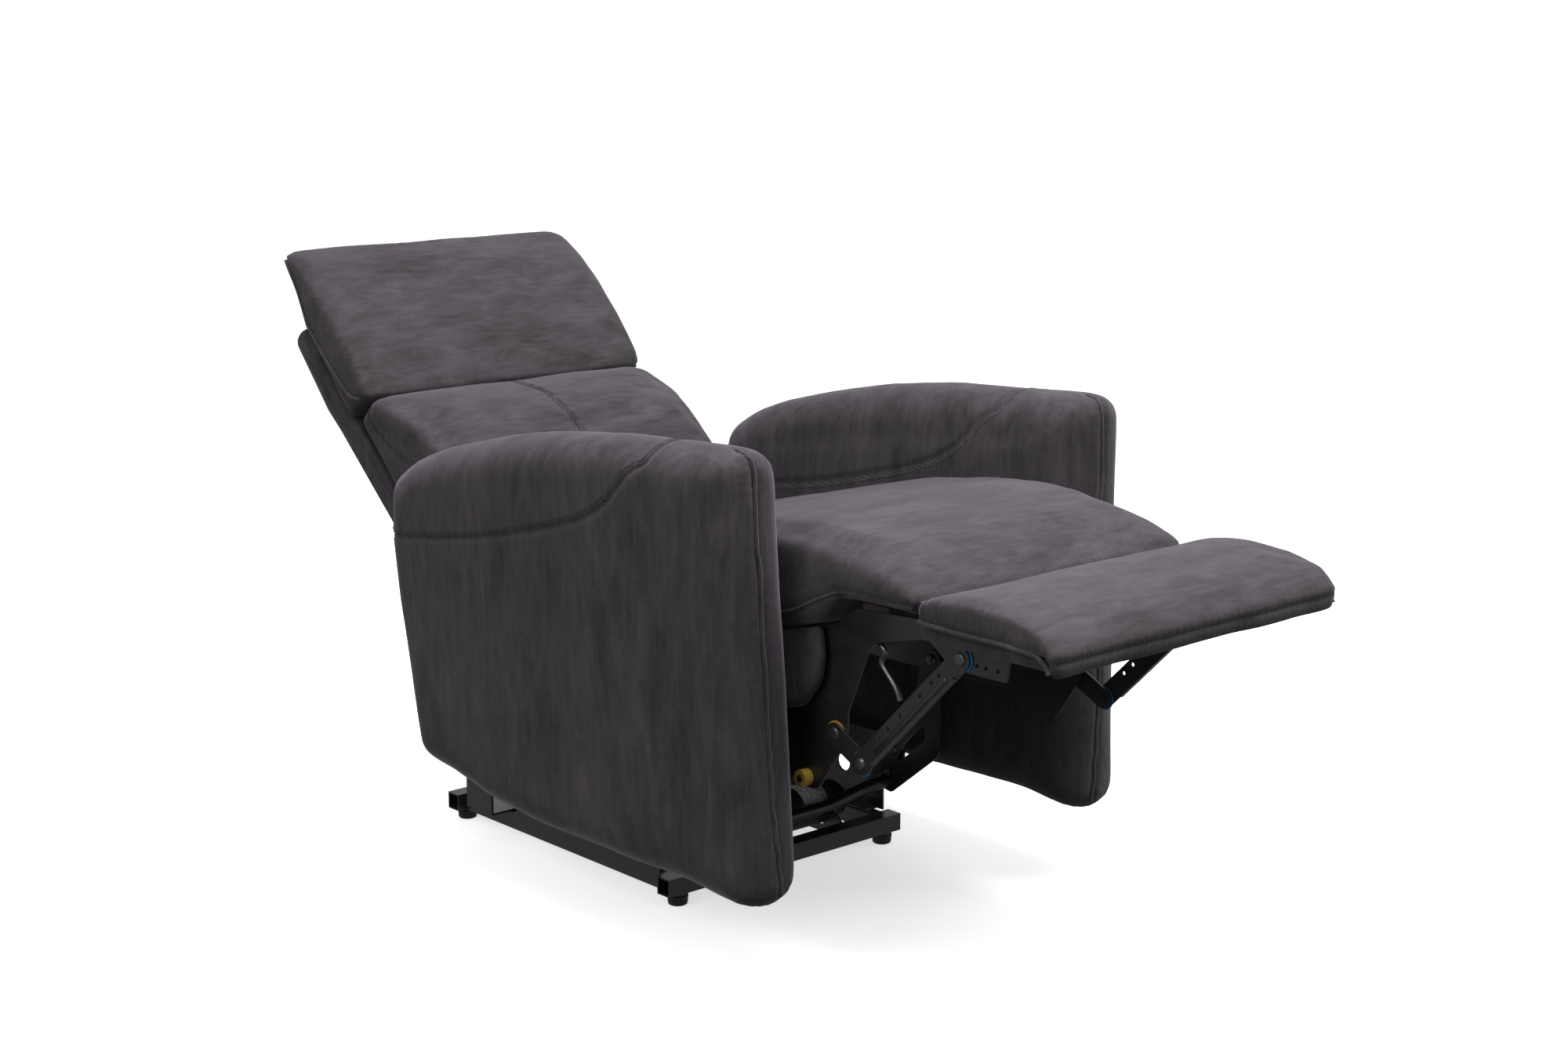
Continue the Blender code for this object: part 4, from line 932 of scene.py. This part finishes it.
class RECLINER_OT_linkage(bpy.types.Operator):
    """Finish the side linkage: pressed ribs, rivets and catch rods"""

    bl_idname = "recliner.linkage"
    bl_label = "Linkage"

    def execute(self, context):
        sizes = context.scene.recliner_sizes
        for body, (face, way, height, pivots) in RIVETS.items():
            bm = bmesh.new()
            for sign in (NEAR, FAR):
                for pivot in pivots:
                    rivet(bm, spot(sign * face, *PIVOTS[pivot]), sign * way, sizes.rivet, height)
            show(f"rivets_{body}", bm, rivet_metal(), body)

        # pressed rib along each ottoman link, and the small bent catch behind it
        hook = [(-0.500, 0.430), (-0.513, 0.419), (-0.5075, 0.405), (-0.530, 0.381), (-0.538, 0.366)]
        across = Vector((1, 0, 0))
        for sign in (NEAR, FAR):
            top, knee = spot(sign * RIB_FACE, *PIVOTS["link"]), spot(sign * RIB_FACE, *PIVOTS["knee"])
            ahead = (knee - top).normalized()
            aside = Vector((0, ahead.z, -ahead.y))
            a, b = top + ahead * 0.034, knee - ahead * 0.030
            mid = (a + b) / 2 + aside * 0.0045
            turn = Matrix((across, ahead, across.cross(ahead))).transposed().to_4x4()
            size = Matrix.Diagonal((0.0044, (b - a).length, 0.0075, 1.0))
            rib = bmesh.new()
            bmesh.ops.create_cube(rib, size=1.0, matrix=Matrix.Translation(mid) @ turn @ size)
            bmesh.ops.bevel(rib, geom=rib.edges[:], offset=0.0018, segments=4, profile=0.5, affect="EDGES",
                            material=-1)
            show(side_name("link_rib", sign), rib, black_steel(), "ottoman_links")
            catch = curved([spot(sign * 0.196, y, z) for y, z in hook], 5)
            piping(side_name("catch_rod", sign), catch, 0.0034, rivet_metal(), "seat")
        return {"FINISHED"}


class RECLINER_OT_drive(bpy.types.Operator):
    """Motor, label and bolts of the drive"""

    bl_idname = "recliner.drive"
    bl_label = "Drive"

    def execute(self, context):
        low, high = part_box("motor")
        centre = (low + high) / 2
        radius = (high.z - low.z) / 2
        plain, rear = radius * 0.985, high.x
        profile = [(low.x, 0.0001), (low.x, radius * 0.94), (low.x + 0.006, radius * 0.94),
                   (low.x + 0.007, plain), (rear - 0.034, plain), (rear - 0.033, radius),
                   (rear - 0.028, radius), (rear - 0.027, radius * 0.975), (rear - 0.012, radius * 0.96),
                   (rear - 0.005, radius * 0.86), (rear - 0.0015, radius * 0.66), (rear, radius * 0.42),
                   (rear, 0.0001)]
        body = turned([(x, centre.y, centre.z + r) for x, r in profile], centre, (1, 0, 0), 48, 2e-4)
        motor = show("motor_body", body, black_moulding(), "base", smooth=30)
        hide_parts("motor")

        # curved paper label on the motor's upper front
        bm = bmesh.new()
        ends = (rear - 0.084, rear - 0.040)
        first, sweep, columns = math.radians(78), math.radians(100), 14
        out = plain + 0.0004
        layer = bm.loops.layers.uv.new("label")
        rows = []
        for k in range(columns + 1):
            angle = first - sweep * k / columns
            y, z = centre.y - out * math.sin(angle), centre.z + out * math.cos(angle)
            rows.append([bm.verts.new((x, y, z)) for x in ends])
        for k in range(columns):
            face = bm.faces.new((rows[k][0], rows[k][1], rows[k + 1][1], rows[k + 1][0]))
            for loop, (end, row) in zip(face.loops, ((0, k), (1, k), (1, k + 1), (0, k + 1))):
                loop[layer].uv = (row / columns, end)
        bmesh.ops.recalc_face_normals(bm, faces=bm.faces)
        bm.normal_update()
        if bm.faces[:][columns // 2].normal.dot(Vector((0, -0.5, 1))) < 0:
            bmesh.ops.reverse_faces(bm, faces=bm.faces)
        label = show("motor_label", bm, palette("printed_label", printed_label), "base",
                     smooth=0)
        thick = label.modifiers.new("paper", "SOLIDIFY")
        thick.thickness = 0.0002
        thick.offset = 1.0

        bolts = bmesh.new()
        for sign in (NEAR, FAR):
            for y, z in ((-0.106, 0.093), (-0.116, 0.100)):
                rivet(bolts, spot(sign * SWING_FACE, y, z), -sign, 0.0052, 0.0045, hexagon=True)
        show("drive_tube_bolts", bolts, rivet_metal(), "front_swing")
        screws = bmesh.new()
        for x in (-0.014, 0.014):
            for y in (-0.072, -0.028):
                bmesh.ops.create_cone(screws, cap_ends=True, segments=16, radius1=0.0042, radius2=0.0034,
                                      depth=0.0030, matrix=Matrix.Translation(spot(x, y, 0.0895)))
        show("gear_screws", screws, rivet_metal(), "base")
        return {"FINISHED"}


class RECLINER_OT_feet(bpy.types.Operator):
    """Round glides under the floor bars"""

    bl_idname = "recliner.feet"
    bl_label = "Feet"

    def execute(self, context):
        for end in ("front", "rear"):
            for sign in (NEAR, FAR):
                node = side_name(f"foot_{end}", sign)
                low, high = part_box(node)
                centre = (low + high) / 2
                r = (high.x - low.x) / 2
                profile = [(0.0002, low.z), (r * 0.80, low.z), (r * 0.90, low.z + 0.0010),
                           (r * 0.94, low.z + 0.0025), (r * 0.97, low.z + 0.0090), (r, low.z + 0.0100),
                           (r, low.z + 0.0125), (r * 0.80, low.z + 0.0130), (r * 0.78, high.z),
                           (0.0002, high.z)]
                bm = turned([(centre.x + x, centre.y, z) for x, z in profile], centre, (0, 0, 1), 36, 3e-4)
                glide = show(side_name(f"glide_{end}", sign), bm, black_moulding(), "base",
                             smooth=40)
                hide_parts(node)
        return {"FINISHED"}


class RECLINER_OT_coats(bpy.types.Operator):
    """Give every CAD part that stays its own finish"""

    bl_idname = "recliner.coats"
    bl_label = "Coats"

    def execute(self, context):
        tone = finishes()
        makers = {
            "black_steel": black_steel,
            "black_plastic": black_moulding,
            "blue_nylon": lambda: palette("blue_washer", moulded, tone.blue, 0.34),
            "yellow_nylon": lambda: palette("yellow_washer", moulded, tone.yellow, 0.34),
            "wood": lambda: palette("stained_ply", plywood, tone.ply),
        }
        slots = {s["node"]: s["material_slot"] for s in frame["record"]["subparts"]}
        for name, slot in slots.items():
            node = bpy.data.objects.get(name)
            if node is None or node.hide_render or slot not in makers:
                continue
            finish = makers[slot]()
            if not node.material_slots:
                node.data.materials.append(finish)
            for holder in node.material_slots:
                holder.material = finish
        return {"FINISHED"}


CAMERA_PLACE = (-2.177, -2.565 + SHIFT, 1.169)
CAMERA_DOWN, CAMERA_TURN = 11.84, 41.64      # degrees below level, and from +Y towards +X


class RECLINER_OT_stage(bpy.types.Operator):
    """Pale floor, soft lights and the camera"""

    bl_idname = "recliner.stage"
    bl_label = "Stage"

    def execute(self, context):
        scene = context.scene
        paper = Finish("studio_floor", Roughness=0.9, Specular_IOR_Level=0.1, Emission_Strength=0.62,
                       Emission_Color=(1.0, 1.0, 1.0, 1.0))
        tint = paper.noise(paper.place(), 0.8, 2.0)
        white = paper.mix(tint * 0.05, (0.80, 0.80, 0.80), (0.76, 0.76, 0.76))
        floor = bmesh.new()
        bmesh.ops.create_circle(floor, cap_ends=True, segments=64, radius=30.0)
        ground = show("studio_floor", floor, paper.wear(Base_Color=white), None)
        screen = Finish("studio_backdrop", Base_Color=(0.0, 0.0, 0.0, 1.0), Specular_IOR_Level=0.0,
                        Emission_Strength=1.05, Emission_Color=(1.0, 1.0, 1.0, 1.0))
        room = bmesh.new()
        bmesh.ops.create_uvsphere(room, u_segments=48, v_segments=24, radius=29.0)
        bmesh.ops.reverse_faces(room, faces=room.faces)
        backdrop = show("studio_backdrop", room, screen.material, None)
        for sheet in (ground, backdrop):
            sheet.visible_diffuse = False
            sheet.visible_glossy = False
        backdrop.visible_shadow = False

        world = bpy.data.worlds.new("studio")
        scene.world = world
        world.use_nodes = True
        sky = world.node_tree
        where = sky.nodes.new("ShaderNodeTexCoord")
        split = sky.nodes.new("ShaderNodeSeparateXYZ")
        fade = sky.nodes.new("ShaderNodeValToRGB")
        for element, (place, tone) in zip(fade.color_ramp.elements, ((0.05, 0.07), (0.90, 0.62))):
            element.position = place
            element.color = (tone, tone, tone * 1.01, 1.0)
        half = sky.nodes.new("ShaderNodeMath")
        half.operation = "MULTIPLY_ADD"
        half.inputs[1].default_value = 0.5
        half.inputs[2].default_value = 0.5
        sky.links.new(where.outputs["Generated"], split.inputs[0])
        sky.links.new(split.outputs["Z"], half.inputs[0])
        sky.links.new(half.outputs[0], fade.inputs["Fac"])
        sky.links.new(fade.outputs["Color"], sky.nodes["Background"].inputs["Color"])

        def lamp(name, place, aim, size, power):
            data = bpy.data.lights.new(name, "AREA")
            data.shape = "RECTANGLE"
            data.size, data.size_y = size
            data.energy = power
            lamp_object = bpy.data.objects.new(name, data)
            context.collection.objects.link(lamp_object)
            lamp_object.location = place
            lamp_object.rotation_euler = (Vector(aim) - Vector(place)).to_track_quat("-Z", "Y").to_euler()

        lamp("top_box", (0.0, -0.8, 2.9), (0.0, 0.0, 0.4), (2.2, 2.2), 142)
        lamp("right_box", (2.6, -1.6, 1.6), (0.0, -0.3, 0.4), (1.2, 1.8), 34)
        lamp("left_box", (-2.8, -0.2, 1.9), (0.0, 0.0, 0.4), (1.4, 1.4), 36)

        lens = bpy.data.cameras.new("camera")
        lens.sensor_fit = "HORIZONTAL"
        lens.sensor_width = 36.0
        lens.lens = scene.recliner_sizes.lens
        camera = bpy.data.objects.new("camera", lens)
        context.collection.objects.link(camera)
        camera.location = CAMERA_PLACE
        camera.rotation_euler = (math.radians(90 - CAMERA_DOWN), 0.0, math.radians(-CAMERA_TURN))
        scene.camera = camera
        scene.view_settings.view_transform = "Standard"
        return {"FINISHED"}


class RECLINER_PT_panel(bpy.types.Panel):
    """Recliner tools in the sidebar"""

    bl_idname = "RECLINER_PT_panel"
    bl_label = "Recliner Armchair"
    bl_space_type = "VIEW_3D"
    bl_region_type = "UI"
    bl_category = "Recliner"

    def draw(self, context):
        column = self.layout.column()
        for group in (context.scene.recliner_sizes, context.scene.recliner_finishes):
            for key in group.__annotations__:
                column.prop(group, key)
        for piece in PIECES:
            column.operator(piece.bl_idname)


PIECES = (RECLINER_OT_arms, RECLINER_OT_seat, RECLINER_OT_legrest, RECLINER_OT_back, RECLINER_OT_flaps,
          RECLINER_OT_linkage, RECLINER_OT_drive, RECLINER_OT_feet, RECLINER_OT_coats, RECLINER_OT_stage)
CLASSES = (ReclinerSizes, ReclinerFinishes, *PIECES, RECLINER_PT_panel)


def register():
    for item in CLASSES:
        bpy.utils.register_class(item)
    bpy.types.Scene.recliner_sizes = PointerProperty(type=ReclinerSizes)
    bpy.types.Scene.recliner_finishes = PointerProperty(type=ReclinerFinishes)


def unregister():
    del bpy.types.Scene.recliner_finishes
    del bpy.types.Scene.recliner_sizes
    for item in reversed(CLASSES):
        bpy.utils.unregister_class(item)


def main():
    register()
    bpy.ops.recliner.arms()
    bpy.ops.recliner.seat()
    bpy.ops.recliner.legrest()
    bpy.ops.recliner.back()
    bpy.ops.recliner.flaps()
    bpy.ops.recliner.linkage()
    bpy.ops.recliner.drive()
    bpy.ops.recliner.feet()
    bpy.ops.recliner.coats()
    bpy.ops.recliner.stage()


if __name__ == "__main__":
    main()
